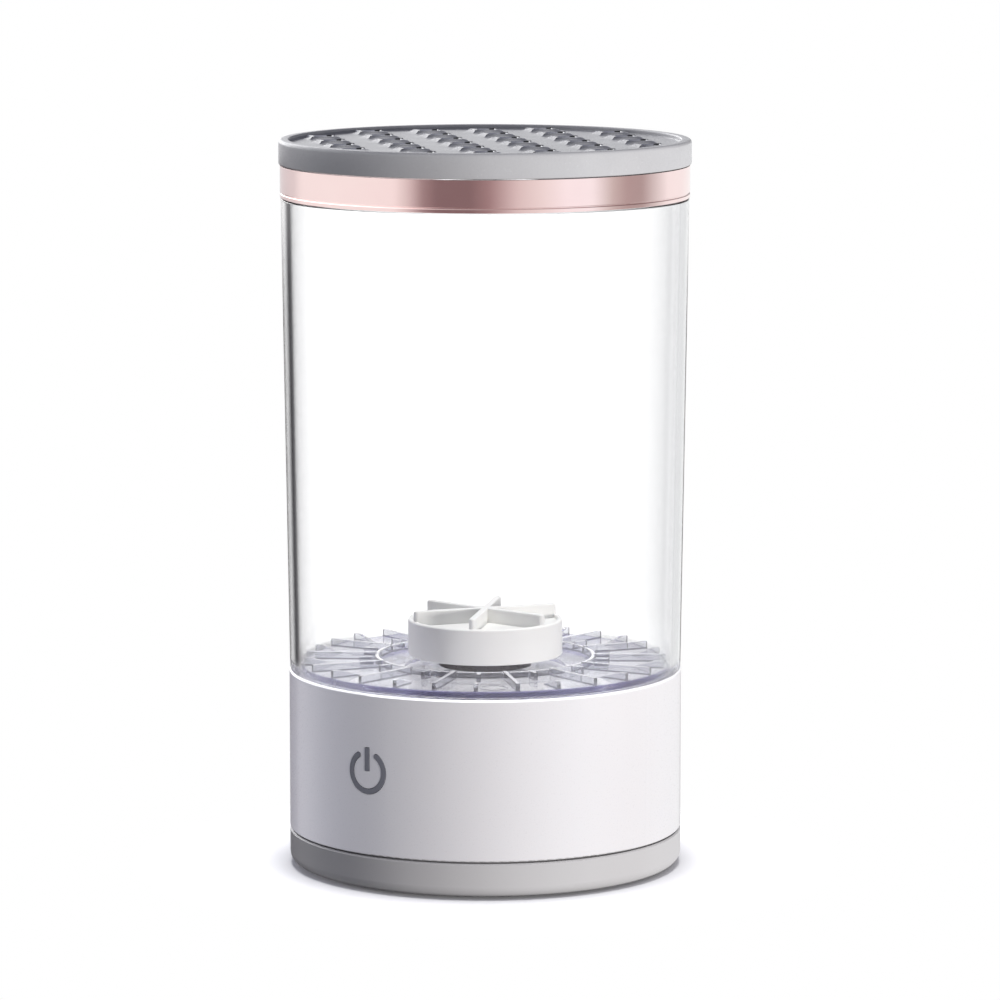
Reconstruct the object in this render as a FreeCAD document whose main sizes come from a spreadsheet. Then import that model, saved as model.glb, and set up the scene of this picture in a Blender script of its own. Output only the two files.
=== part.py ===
"""Electric brush cleaner: a rechargeable base, a clear cup with a magnet-driven impeller,
a ribbed scrub disc and a silicone lid with star openings that hold drying brushes.

Frame: millimetres, +Z up, origin at the centre of the bottom face.
The power key faces -Y and the charging socket faces +Y.
"""
import FreeCAD, Part
import math
import os
import re
import Sketcher

from FreeCAD import Placement, Rotation, Vector

doc = FreeCAD.newDocument("BrushCleaner")

# ---------------------------------------------------------------- driving dimensions

SIZES = {
    # base shell
    "shell_radius": 43.15,
    "shell_wall": 2.2,
    "foot_lift": 0.6,
    "cover_top": 8.0,
    "cover_floor": 3.0,
    "seam_gap": 0.35,
    "spigot_height": 3.0,
    "foot_round": 2.2,
    "deck_bottom": 38.8,
    "deck_top": 40.8,
    "base_top": 43.4,
    "nest_wall": 1.25,
    "shell_edge": 0.35,
    "spigot_wall": 1.4,
    "rail_back": 3.8,
    "rail_front": 2.4,
    "rail_grip": 0.8,
    "rail_slack": 0.2,
    "pad_radius": 39.0,
    "pad_depth": 1.4,
    # clearances, overlaps and small edges used in many places
    "fit_gap": 0.1,
    "loose_fit": 0.15,
    "overlap": 0.1,
    "cut_over": 1.0,
    "small_edge": 0.3,
    # cup, trim ring and lid
    "cup_floor_bottom": 41.0,
    "cup_floor_top": 43.0,
    "cup_shoulder": 43.5,
    "cup_radius_low": 43.0,
    "cup_radius_high": 44.55,
    "cup_wall": 2.0,
    "cup_corner": 1.0,
    "cup_chamfer": 0.4,
    "ring_seat_gap": 0.2,
    "ring_bottom": 147.4,
    "ring_top": 154.4,
    "ring_radius": 44.7,
    "ring_wall": 1.0,
    "ring_lip": 0.9,
    "lip_groove": 0.25,
    "upstand_top": 157.1,
    "upstand_wall": 1.05,
    "lid_radius": 45.0,
    "lid_top": 160.0,
    "lid_skirt_bottom": 154.6,
    "lid_skirt": 1.25,
    "lid_sheet_top": 159.0,
    "lid_sheet": 1.7,
    "lid_rim": 2.3,
    "star_pitch": 13.0,
    "star_tip": 2.97,
    "star_waist": 2.05,
    "star_turn": 47.0,
    "collar_base": 6.0,
    "collar_top": 4.4,
    "collar_height": 0.5,
    "lid_edge": 0.8,
    # scrub disc
    "disc_radius": 40.4,
    "disc_bottom": 43.1,
    "disc_top": 45.0,
    "disc_bore": 17.6,
    "disc_ring": 24.4,
    "disc_ring_wall": 1.0,
    "disc_ring_top": 46.4,
    "disc_recess": 1.0,
    "disc_chamfer": 0.5,
    "rib_count": 14.0,
    "rib_top": 46.65,
    "rib_width": 0.9,
    "rib_reach": 39.9,
    "rib_phase": 7.39,
    "rib_root": 0.3,
    "rib_overlap": 0.5,
    "nub_start": 25.0,
    "nub_end": 28.0,
    "ramp_start": 32.8,
    "ramp_crest": 38.3,
    "mark_radius": 3.0,
    "mark_place": 35.4,
    "mark_depth": 0.2,
    "mark_angle": -51.0,
    # impeller
    "spindle_radius": 1.5,
    "spindle_bottom": 41.8,
    "spindle_top": 50.6,
    "spindle_chamfer": 0.5,
    "boss_radius": 4.0,
    "boss_top": 43.5,
    "washer_radius": 3.4,
    "washer_top": 43.9,
    "bush_radius": 2.8,
    "bush_bottom": 43.95,
    "bush_top": 51.6,
    "running_gap": 0.04,
    "carrier_radius": 10.2,
    "carrier_bottom": 44.1,
    "carrier_top": 46.2,
    "carrier_boss": 5.0,
    "carrier_boss_top": 51.0,
    "cap_radius": 17.0,
    "cap_bottom": 46.5,
    "cap_rim": 54.5,
    "cap_wall": 1.4,
    "cap_floor": 53.6,
    "cap_plate": 1.5,
    "cap_socket": 6.6,
    "cap_lip": 1.1,
    "cap_edge": 0.5,
    "socket_lift": 1.0,
    "web_count": 6.0,
    "web_half": 0.5,
    "web_depth": 2.0,
    "web_root": 0.3,
    "vane_width": 1.6,
    "vane_walls": 3.0,
    "vane_reach": 16.6,
    "vane_root": 0.2,
    "vane_top": 56.8,
    "vane_turn": 56.0,
    # drive magnets
    "magnet_count": 6.0,
    "magnet_radius": 2.5,
    "magnet_height": 1.5,
    "magnet_circle": 6.95,
    "magnet_fit": 0.03,
    "rotor_radius": 11.0,
    "rotor_bottom": 35.6,
    "rotor_top": 38.3,
    "rotor_hub": 3.2,
    "rotor_hub_bottom": 33.9,
    # motor
    "motor_radius": 12.1,
    "motor_bottom": 8.0,
    "motor_top": 32.0,
    "motor_wall": 1.0,
    "motor_boss": 3.5,
    "motor_boss_top": 33.4,
    "bearing_pocket": 2.6,
    "bearing_depth": 3.0,
    "can_edge": 0.8,
    "shaft_radius": 1.0,
    "shaft_bottom": 6.2,
    "shaft_top": 38.0,
    "armature_radius": 8.1,
    "armature_bottom": 12.5,
    "armature_height": 13.0,
    "slot_width": 2.2,
    "slot_bottom": 3.4,
    "pole_count": 3.0,
    "stator_bore": 8.8,
    "stator_gap": 3.0,
    "cap_ring_bottom": 7.0,
    "cap_boss_radius": 3.4,
    "cap_boss_height": 0.4,
    "cap_inset": 0.2,
    "cap_plug": 1.5,
    "terminal_place": 5.0,
    "terminal_half": 1.2,
    "terminal_front": 8.25,
    "terminal_thick": 0.5,
    "terminal_bottom": 4.4,
    "seat_wall": 1.4,
    "seat_height": 8.0,
    "notch_half": 7.0,
    "notch_reach": 3.0,
    "notch_inner": 6.0,
    "notch_depth": 9.0,
    "bracket_thick": 1.4,
    "bracket_disc": 11.5,
    "bracket_arm": 19.0,
    "bracket_arm_width": 9.0,
    "motor_screw_place": 8.0,
    "post_radius": 3.2,
    # fasteners
    "screw_radius": 1.05,
    "screw_head": 2.1,
    "screw_head_height": 1.4,
    "motor_screw_length": 2.4,
    "bracket_screw_length": 5.5,
    "bracket_pilot_depth": 4.5,
    "case_screw_circle": 35.6,
    "case_screw_radius": 1.3,
    "case_screw_head": 2.4,
    "case_screw_head_height": 1.8,
    "case_screw_length": 12.0,
    "case_pilot_depth": 8.0,
    "case_way_length": 20.0,
    "case_post_radius": 3.4,
    "case_post_bottom": 12.0,
    "case_seat": 6.0,
    # battery
    "cell_radius": 7.0,
    "cell_length": 48.5,
    "cell_nub": 1.0,
    "cell_nub_radius": 2.6,
    "cell_edge": 0.5,
    "cell_place": 21.3,
    "cell_height": 11.5,
    "cradle_place": 15.0,
    "cradle_thick": 3.0,
    "cradle_drop": 1.0,
    "hollow_half": 25.0,
    "tab_thick": 0.2,
    "tab_half": 2.0,
    "tab_drop": 3.0,
    "tab_rise": 4.0,
    # control board and power key
    "board_thick": 1.6,
    "board_front": -35.4,
    "board_half": 13.0,
    "board_bottom": 13.0,
    "board_top": 35.0,
    "rail_reach": 16.2,
    "key_height": 26.5,
    "icon_radius": 4.8,
    "icon_stroke": 1.1,
    "icon_gap": 0.12,
    "icon_opening": 34.0,
    "icon_bar_top": 5.3,
    "icon_bar_bottom": 0.2,
    "key_proud": 0.1,
    "key_back": 39.6,
    "key_plate": 0.7,
    "key_half_width": 6.2,
    "key_half_height": 7.4,
    "key_root": 0.2,
    "key_depth": 5.0,
    "key_trim_out": 4.0,
    "key_trim_half": 9.0,
    "icon_cut": 6.0,
    "switch_side": 6.0,
    "switch_depth": 3.4,
    "plunger_radius": 1.75,
    "plunger_bore": 1.85,
    "plunger_length": 1.9,
    "plunger_bore_depth": 2.2,
    "led_half": 1.6,
    "led_depth": 0.8,
    "led_low": 4.2,
    "led_high": 6.2,
    "chip_half": 2.5,
    "chip_depth": 1.5,
    "chip_half_height": 2.0,
    "capacitor_inner": 6.0,
    "capacitor_outer": 9.0,
    "capacitor_depth": 1.2,
    "capacitor_half_height": 1.0,
    "coil_half": 2.5,
    "coil_depth": 2.4,
    "coil_low": 2.0,
    "coil_high": 7.0,
    # charging board and socket
    "charge_bottom": 12.6,
    "charge_back": 29.2,
    "charge_front": 39.5,
    "charge_half": 8.0,
    "charge_post": 5.8,
    "charge_post_place": 31.2,
    "charge_post_radius": 1.9,
    "charge_pilot_depth": 6.0,
    "charge_screw_head": 1.8,
    "charge_screw_head_height": 1.2,
    "charge_screw_length": 6.0,
    "charge_chip_left": 5.2,
    "charge_chip_right": 7.4,
    "charge_chip_back": 34.4,
    "charge_capacitor_inner": 5.4,
    "charge_capacitor_outer": 7.2,
    "charge_capacitor_back": 35.0,
    "charge_part_front": 37.0,
    "charge_part_height": 1.0,
    "socket_width": 8.94,
    "socket_height": 3.26,
    "socket_length": 7.2,
    "socket_wall": 0.3,
    "socket_gap": 0.35,
    "socket_mouth": 40.4,
    "socket_back": 1.0,
    "socket_cut_start": 46.0,
    "socket_cut": 8.0,
    "tongue_half": 3.3,
    "tongue_front": 39.8,
    "tongue_half_thick": 0.35,
    "plug_width": 12.6,
    "plug_height": 7.0,
    "plug_depth": 1.1,
    "wire_radius": 0.6,
}

SAME = 1e-3    # lengths closer than this are taken as equal

sheet = doc.addObject("Spreadsheet::Sheet", "Sizes")
for row, (alias, value) in enumerate(SIZES.items(), start=1):
    sheet.set("A%d" % row, alias)
    sheet.set("B%d" % row, str(value))
    sheet.setAlias("B%d" % row, alias)
doc.recompute()


def size(alias):
    """A driving dimension as a number."""
    return float(sheet.get(alias))


def tied(formula):
    """A formula in the sheet's words, written as FreeCAD's expressions want it."""
    return re.sub(r"\b(?!deg\b)[a-z][a-z_]+", lambda word: "Sizes." + word.group(0), formula)


def tie(thing, **formulas):
    """Bind properties to the sheet; a double underscore stands for a dot."""
    for path, formula in formulas.items():
        thing.setExpression(path.replace("__", "."), tied(formula))


# ---------------------------------------------------------------- sketches and features

def new_body(name):
    body = doc.addObject("PartDesign::Body", name)
    body.Label = name
    return body


def origin_feature(body, role):
    return next(item for item in body.Origin.OriginFeatures if item.Role == role)


def new_sketch(body, plane, name, offset="", turn=0.0, turn_axis=Vector(0, 0, 1)):
    """An empty sketch on one of the body's origin planes, moved along its normal."""
    sketch = body.newObject("Sketcher::SketchObject", name)
    sketch.AttachmentSupport = [(origin_feature(body, plane), "")]
    sketch.MapMode = "FlatFace"
    sketch.AttachmentOffset = Placement(Vector(0, 0, 0), Rotation(turn_axis, turn))
    if offset:
        tie(sketch, AttachmentOffset__Base__z=offset)
    return sketch


def pin_point(sketch, geometry, end, across, up, spot=Vector(1, 1, 0)):
    """Tie one point of a sketch, now at spot, to the sheet by its two distances from the origin."""
    for kind, formula, axis, now in (("DistanceX", across, -2, spot.x), ("DistanceY", up, -1, spot.y)):
        if formula == "0":
            sketch.addConstraint(Sketcher.Constraint("PointOnObject", geometry, end, axis))
            continue
        index = sketch.addConstraint(Sketcher.Constraint(kind, -1, 1, geometry, end, now))
        sketch.setExpression("Constraints[%d]" % index, tied(formula))


def outline(sketch, corners):
    """A closed outline of straight edges whose corners are pairs of formulas."""
    count = len(corners)
    start = len(sketch.Geometry)
    spots = [Vector(math.cos(2 * math.pi * k / count), math.sin(2 * math.pi * k / count), 0)
             for k in range(count)]
    for k in range(count):
        sketch.addGeometry(Part.LineSegment(spots[k], spots[(k + 1) % count]), False)
    for k in range(count):
        follower = start + (k + 1) % count
        sketch.addConstraint(Sketcher.Constraint("Coincident", start + k, 2, follower, 1))
        pin_point(sketch, start + k, 1, corners[k][0], corners[k][1])


def block_outline(sketch, left, right, low, high):
    outline(sketch, [(left, low), (right, low), (right, high), (left, high)])


def circle(sketch, radius, across="0", up="0"):
    start = sketch.addGeometry(Part.Circle(Vector(0, 0, 0), Vector(0, 0, 1), 1.0), False)
    pin_point(sketch, start, 3, across, up)
    index = sketch.addConstraint(Sketcher.Constraint("Radius", start, 1.0))
    sketch.setExpression("Constraints[%d]" % index, tied(radius))


DRAFT = 9.0    # slots are drawn this long and one high at first, and their constraints size them


def stadium(sketch, half_straight, radius, up):
    """A slot lying along the sketch's first axis, centred on the second."""
    low = sketch.addGeometry(Part.LineSegment(Vector(-DRAFT, -1, 0), Vector(DRAFT, -1, 0)), False)
    high = sketch.addGeometry(Part.LineSegment(Vector(DRAFT, 1, 0), Vector(-DRAFT, 1, 0)), False)
    for side, before, after in ((-1, high, low), (1, low, high)):
        circle_line = Part.Circle(Vector(DRAFT * side, 0, 0), Vector(0, 0, 1), 1)
        start = math.pi / 2 if side < 0 else -math.pi / 2
        end = sketch.addGeometry(Part.ArcOfCircle(circle_line, start, start + math.pi), False)
        sketch.addConstraint(Sketcher.Constraint("Coincident", before, 2, end, 1))
        sketch.addConstraint(Sketcher.Constraint("Coincident", end, 2, after, 1))
        index = sketch.addConstraint(Sketcher.Constraint("DistanceX", -1, 1, end, 3, DRAFT * side))
        sketch.setExpression("Constraints[%d]" % index, tied("%d * (%s)" % (side, half_straight)))
    for line, sign in ((low, -1), (high, 1)):
        for point, side in ((1, sign), (2, -sign)):
            pin_point(sketch, line, point, "%d * (%s)" % (side, half_straight),
                      "%s + %d * (%s)" % (up, sign, radius), Vector(DRAFT * side, sign, 0))


def feature(body, kind, sketch, length="", backwards=False):
    """A pad or pocket of a sketch; its direction follows the sketch's normal."""
    item = body.newObject("PartDesign::" + kind, sketch.Name + "_" + kind.lower())
    item.Profile = (sketch, [""])
    if length:
        tie(item, Length=length)
    item.Reversed = backwards
    return item


def turned(name, corners):
    """A body made by turning an outline (radius, height) about the vertical axis."""
    body = new_body(name)
    sketch = new_sketch(body, "XZ_Plane", name + "_profile")
    outline(sketch, corners)
    spin = body.newObject("PartDesign::Revolution", name + "_turn")
    spin.Profile = (sketch, [""])
    spin.ReferenceAxis = (sketch, ["V_Axis"])
    spin.Angle = 360
    doc.recompute()
    return body


def around(body, item, count, name):
    """Repeat a feature round the vertical axis, and make the pattern the body's tip."""
    pattern = body.newObject("PartDesign::PolarPattern", name)
    pattern.Originals = [item]
    pattern.Axis = (origin_feature(body, "Z_Axis"), [""])
    pattern.Angle = 360
    tie(pattern, Occurrences=count)
    body.Tip = pattern
    doc.recompute()
    return pattern


def worth(formula):
    """The number a formula in the sheet's words comes to."""
    probe = doc.addObject("App::FeaturePython", "probe")
    probe.addProperty("App::PropertyFloat", "Worth")
    probe.setExpression("Worth", tied(formula))
    doc.recompute()
    number = probe.Worth
    doc.removeObject(probe.Name)
    return number


def soften(body, kind, edge_size, picks):
    """Fillet or chamfer the round edges that lie at the given (radius, height) pairs of formulas."""
    doc.recompute()
    base = body.Tip
    spots = [(worth(radius), worth(height)) for radius, height in picks]
    names = []
    for number, edge in enumerate(base.Shape.Edges, start=1):
        if not isinstance(edge.Curve, Part.Circle):
            continue
        centre = edge.Curve.Center
        for radius, height in spots:
            on_axis = math.hypot(centre.x, centre.y) < SAME
            same_radius = abs(edge.Curve.Radius - radius) < SAME
            if on_axis and same_radius and abs(centre.z - height) < SAME:
                names.append("Edge%d" % number)
    assert len(names) >= len(picks), (body.Name, names)
    item = body.newObject("PartDesign::" + kind, body.Name + "_" + kind.lower())
    item.Base = (base, names)
    if kind == "Fillet":
        tie(item, Radius=edge_size)
    else:
        tie(item, Size=edge_size)
    doc.recompute()
    return item


def cylinder(name, radius, height, across="0", along="0", up="0"):
    """An upright cylinder."""
    item = doc.addObject("Part::Cylinder", name)
    item.Label = name
    tie(item, Radius=radius, Height=height)
    tie(item, Placement__Base__x=across, Placement__Base__y=along, Placement__Base__z=up)
    return item


def block(name, left, right, front, back, low, high):
    """A box between six planes."""
    item = doc.addObject("Part::Box", name)
    item.Label = name
    tie(item, Length="(%s) - (%s)" % (right, left))
    tie(item, Width="(%s) - (%s)" % (back, front))
    tie(item, Height="(%s) - (%s)" % (high, low))
    tie(item, Placement__Base__x=left, Placement__Base__y=front, Placement__Base__z=low)
    return item


def boolean(kind, name, base, tool):
    item = doc.addObject("Part::" + kind, name)
    item.Label = name
    item.Base = base
    item.Tool = tool
    return item


def union(name, pieces):
    item = doc.addObject("Part::MultiFuse", name)
    item.Label = name
    item.Shapes = pieces
    return item


def group(name, pieces):
    """Separate solids that share one name."""
    item = doc.addObject("Part::Compound", name)
    item.Label = name
    item.Links = pieces
    return item


# ---------------------------------------------------------------- base shell

CASE_SCREW_ANGLES = (20, 160, 224, 316)
BRACKET_SIDES = (-1, 1)
CHARGE_SIDES = (-1, 1)


def case_screw_spot(angle):
    """Formulas for a case screw's place."""
    return ("case_screw_circle * %.6f" % math.cos(math.radians(angle)),
            "case_screw_circle * %.6f" % math.sin(math.radians(angle)))


def power_icon(sketch, grow):
    """The open ring and the bar of a power symbol, both widened all round by grow."""
    middle = Vector(0, size("key_height"), 0)
    outer = size("icon_radius")
    inner = outer - size("icon_stroke")
    start = math.radians(90 + size("icon_opening"))
    end = math.radians(450 - size("icon_opening"))

    def arc(radius):
        return Part.ArcOfCircle(Part.Circle(middle, Vector(0, 0, 1), radius), start, end)

    def spot(radius, angle):
        return middle + Vector(radius * math.cos(angle), radius * math.sin(angle), 0)

    big = sketch.addGeometry(arc(outer), False)
    small = sketch.addGeometry(arc(inner), False)
    caps = []
    for angle, turn in ((start, 1), (end, -1)):
        centre = spot((outer + inner) / 2, angle)
        half = (outer - inner) / 2
        first = angle if turn < 0 else angle + math.pi
        cap = Part.ArcOfCircle(Part.Circle(centre, Vector(0, 0, 1), half), first, first + math.pi)
        caps.append(sketch.addGeometry(cap, False))
        index = sketch.addConstraint(Sketcher.Constraint("DistanceX", -1, 1, caps[-1], 3, centre.x))
        formula = "(icon_radius - icon_stroke / 2) * %.6f" % math.cos(angle)
        sketch.setExpression("Constraints[%d]" % index, tied(formula))
    # the ring's two round ends: one closes the start of both arcs, the other their end
    sketch.addConstraint(Sketcher.Constraint("Tangent", caps[0], 1, small, 1))
    sketch.addConstraint(Sketcher.Constraint("Tangent", caps[0], 2, big, 1))
    sketch.addConstraint(Sketcher.Constraint("Tangent", caps[1], 1, big, 2))
    sketch.addConstraint(Sketcher.Constraint("Tangent", caps[1], 2, small, 2))
    for ring, value, radius in ((big, outer, "icon_radius + (%s)" % grow),
                                (small, inner, "icon_radius - icon_stroke - (%s)" % grow)):
        pin_point(sketch, ring, 3, "0", "key_height")
        index = sketch.addConstraint(Sketcher.Constraint("Radius", ring, value))
        sketch.setExpression("Constraints[%d]" % index, tied(radius))
    half = "icon_stroke / 2 + (%s)" % grow
    block_outline(sketch, "-(%s)" % half, half,
                  "key_height + icon_bar_bottom - (%s)" % grow, "key_height + icon_bar_top + (%s)" % grow)


def make_base_housing():
    body = turned("base_housing", [
        ("shell_radius - shell_wall", "cover_top + seam_gap"),
        ("shell_radius", "cover_top + seam_gap"),
        ("shell_radius", "base_top"),
        ("shell_radius - nest_wall", "base_top"),
        ("shell_radius - nest_wall", "deck_top"),
        ("0", "deck_top"),
        ("0", "deck_bottom"),
        ("shell_radius - shell_wall", "deck_bottom"),
    ])
    posts = new_sketch(body, "XY_Plane", "case_posts", "case_post_bottom")
    for angle in CASE_SCREW_ANGLES:
        across, up = case_screw_spot(angle)
        circle(posts, "case_post_radius", across, up)
    feature(body, "Pad", posts, "deck_bottom - case_post_bottom")
    pilots = new_sketch(body, "XY_Plane", "case_pilots", "case_post_bottom")
    for angle in CASE_SCREW_ANGLES:
        across, up = case_screw_spot(angle)
        circle(pilots, "case_screw_radius + running_gap", across, up)
    feature(body, "Pocket", pilots, "case_pilot_depth", backwards=True)
    arms = new_sketch(body, "XY_Plane", "bracket_posts", "motor_top + bracket_thick")
    for side in BRACKET_SIDES:
        circle(arms, "post_radius", "%d * bracket_arm" % side)
    feature(body, "Pad", arms, "deck_bottom - motor_top - bracket_thick")
    arm_pilots = new_sketch(body, "XY_Plane", "bracket_pilots", "motor_top + bracket_thick")
    for side in BRACKET_SIDES:
        circle(arm_pilots, "screw_radius + running_gap", "%d * bracket_arm" % side)
    feature(body, "Pocket", arm_pilots, "bracket_pilot_depth", backwards=True)
    rails = new_sketch(body, "XY_Plane", "board_rails", "board_bottom")
    back, front = "board_front + rail_back", "board_front - rail_front"
    slot_front, slot_back = "board_front - fit_gap", "board_front + board_thick + fit_gap"
    for side in (-1, 1):
        outline(rails, [("%d * (%s)" % (side, across), up) for across, up in (
            ("rail_reach", back), ("rail_reach", front),
            ("board_half - rail_grip", front), ("board_half - rail_grip", slot_front),
            ("board_half + rail_slack", slot_front), ("board_half + rail_slack", slot_back),
            ("board_half - rail_grip", slot_back), ("board_half - rail_grip", back))])
    feature(body, "Pad", rails, "deck_bottom - board_bottom")
    icon = new_sketch(body, "XZ_Plane", "icon_opening_cut", "key_back")
    power_icon(icon, "icon_gap")
    feature(body, "Pocket", icon, "icon_cut", backwards=True)
    socket_middle = "charge_bottom + board_thick + socket_height / 2"
    way = new_sketch(body, "XZ_Plane", "socket_way", "-socket_cut_start")
    stadium(way, "(socket_width - socket_height) / 2", "socket_height / 2 + socket_gap", socket_middle)
    feature(body, "Pocket", way, "socket_cut", backwards=True)
    plug = new_sketch(body, "XZ_Plane", "plug_recess", "-socket_cut_start")
    stadium(plug, "(plug_width - plug_height) / 2", "plug_height / 2", socket_middle)
    feature(body, "Pocket", plug, "socket_cut_start - shell_radius + plug_depth", backwards=True)
    soften(body, "Fillet", "shell_edge", [("shell_radius", "base_top"),
                                          ("shell_radius", "cover_top + seam_gap")])
    return body


def make_bottom_cover():
    body = turned("bottom_cover", [
        ("0", "pad_depth"),
        ("pad_radius + loose_fit", "pad_depth"),
        ("pad_radius + loose_fit", "foot_lift"),
        ("shell_radius", "foot_lift"),
        ("shell_radius", "cover_top"),
        ("shell_radius - shell_wall - fit_gap", "cover_top"),
        ("shell_radius - shell_wall - fit_gap", "cover_top + spigot_height"),
        ("shell_radius - shell_wall - fit_gap - spigot_wall", "cover_top + spigot_height"),
        ("shell_radius - shell_wall - fit_gap - spigot_wall", "cover_floor"),
        ("0", "cover_floor"),
    ])
    bosses = new_sketch(body, "XY_Plane", "cover_bosses", "cover_floor")
    for angle in CASE_SCREW_ANGLES:
        across, up = case_screw_spot(angle)
        circle(bosses, "case_post_radius + fit_gap", across, up)
    feature(body, "Pad", bosses, "case_post_bottom - cover_floor - fit_gap")
    seat = new_sketch(body, "XY_Plane", "motor_seat", "cover_floor")
    circle(seat, "motor_radius + fit_gap + seat_wall")
    circle(seat, "motor_radius + fit_gap")
    feature(body, "Pad", seat, "seat_height")
    notch = new_sketch(body, "XY_Plane", "lead_notch", "cover_floor")
    block_outline(notch, "-notch_half", "notch_half", "-(motor_radius + notch_reach)", "-notch_inner")
    feature(body, "Pocket", notch, "notch_depth", backwards=True)
    cradle = new_sketch(body, "XY_Plane", "cell_cradle", "cover_floor")
    for side in (-1, 1):
        middle = "%d * cradle_place" % side
        block_outline(cradle, middle + " - cradle_thick / 2", middle + " + cradle_thick / 2",
                      "cell_place - cell_radius", "cell_place + cell_radius")
    feature(body, "Pad", cradle, "cell_height - cover_floor - cradle_drop")
    hollow = new_sketch(body, "YZ_Plane", "cell_hollow", "-hollow_half")
    circle(hollow, "cell_radius + fit_gap", "cell_place", "cell_height")
    feature(body, "Pocket", hollow, "2 * hollow_half", backwards=True)
    posts = new_sketch(body, "XY_Plane", "charge_posts", "cover_floor")
    for side in CHARGE_SIDES:
        circle(posts, "charge_post_radius", "%d * charge_post" % side, "charge_post_place")
    feature(body, "Pad", posts, "charge_bottom - cover_floor")
    post_pilots = new_sketch(body, "XY_Plane", "charge_pilots", "charge_bottom")
    for side in CHARGE_SIDES:
        circle(post_pilots, "screw_radius + running_gap", "%d * charge_post" % side, "charge_post_place")
    feature(body, "Pocket", post_pilots, "charge_pilot_depth")
    ways = new_sketch(body, "XY_Plane", "case_screw_ways", "0")
    for angle in CASE_SCREW_ANGLES:
        across, up = case_screw_spot(angle)
        circle(ways, "case_screw_radius + fit_gap", across, up)
    feature(body, "Pocket", ways, "case_way_length", backwards=True)
    heads = new_sketch(body, "XY_Plane", "case_head_ways", "0")
    for angle in CASE_SCREW_ANGLES:
        across, up = case_screw_spot(angle)
        circle(heads, "case_screw_head + loose_fit", across, up)
    feature(body, "Pocket", heads, "case_seat", backwards=True)
    soften(body, "Fillet", "foot_round", [("shell_radius", "foot_lift")])
    soften(body, "Chamfer", "small_edge", [("shell_radius", "cover_top")])
    return body


def make_anti_slip_pad():
    body = turned("anti_slip_pad", [
        ("0", "0"),
        ("pad_radius", "0"),
        ("pad_radius", "pad_depth"),
        ("0", "pad_depth"),
    ])
    soften(body, "Fillet", "small_edge", [("pad_radius", "0")])
    return body


# ---------------------------------------------------------------- cup, ring and lid

def make_clear_cup():
    body = turned("clear_cup", [
        ("0", "cup_floor_bottom"),
        ("shell_radius - nest_wall - fit_gap", "cup_floor_bottom"),
        ("shell_radius - nest_wall - fit_gap", "cup_shoulder"),
        ("cup_radius_low", "cup_shoulder"),
        ("cup_radius_high", "ring_bottom - ring_seat_gap"),
        ("ring_radius - ring_wall - fit_gap", "ring_bottom - ring_seat_gap"),
        ("ring_radius - ring_wall - fit_gap", "upstand_top"),
        ("ring_radius - ring_wall - fit_gap - upstand_wall", "upstand_top"),
        ("cup_radius_high - cup_wall", "ring_bottom"),
        ("cup_radius_low - cup_wall", "cup_floor_top"),
        ("boss_radius", "cup_floor_top"),
        ("boss_radius", "boss_top"),
        ("spindle_radius", "boss_top"),
        ("spindle_radius", "spindle_bottom"),
        ("0", "spindle_bottom"),
    ])
    soften(body, "Fillet", "cup_corner", [("cup_radius_low - cup_wall", "cup_floor_top")])
    soften(body, "Chamfer", "cup_chamfer", [("shell_radius - nest_wall - fit_gap", "cup_floor_bottom")])
    soften(body, "Fillet", "small_edge", [("cup_radius_low", "cup_shoulder"),
                                          ("cup_radius_high", "ring_bottom - ring_seat_gap")])
    return body


def make_trim_ring():
    body = turned("trim_ring", [
        ("ring_radius - ring_wall", "ring_bottom"),
        ("ring_radius", "ring_bottom"),
        ("ring_radius", "ring_bottom + ring_lip"),
        ("ring_radius - lip_groove", "ring_bottom + ring_lip"),
        ("ring_radius - lip_groove", "ring_bottom + ring_lip + lip_groove"),
        ("ring_radius", "ring_bottom + ring_lip + lip_groove"),
        ("ring_radius", "ring_top"),
        ("ring_radius - ring_wall", "ring_top"),
    ])
    soften(body, "Fillet", "small_edge", [("ring_radius", "ring_top"), ("ring_radius", "ring_bottom")])
    return body


def star_outline(sketch, column, row):
    """A four-point star of four inward arcs, centred column and row pitches from the middle."""
    pitch = size("star_pitch")
    tip = size("star_tip")
    sag = tip - size("star_waist")
    radius = (tip * tip + sag * sag) / (2 * sag)
    half = math.asin(tip / radius)
    middle = Vector(column * pitch, row * pitch, 0)
    arcs = []
    for quarter in range(4):
        facing = quarter * math.pi / 2
        centre = middle + Vector(math.cos(facing), math.sin(facing), 0) * (size("star_waist") + radius)
        ring = Part.Circle(centre, Vector(0, 0, 1), radius)
        arc = Part.ArcOfCircle(ring, facing + math.pi - half, facing + math.pi + half)
        arcs.append(sketch.addGeometry(arc, False))
    signs = ((1, 1), (-1, 1), (-1, -1), (1, -1))
    for quarter in range(4):
        # an arc runs from its left tip to its right tip as seen from the star's middle
        here, after = arcs[quarter], arcs[(quarter + 1) % 4]
        sketch.addConstraint(Sketcher.Constraint("Coincident", here, 1, after, 2))
        index = sketch.addConstraint(Sketcher.Constraint("Radius", here, radius))
        formula = "(star_tip ^ 2 + (star_tip - star_waist) ^ 2) / (2 * (star_tip - star_waist))"
        sketch.setExpression("Constraints[%d]" % index, tied(formula))
        across, up = signs[quarter]
        pin_point(sketch, here, 1,
                  "%.1f * star_pitch + %d * star_tip" % (column, across),
                  "%.1f * star_pitch + %d * star_tip" % (row, up),
                  middle + Vector(across * tip, up * tip, 0))


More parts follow.
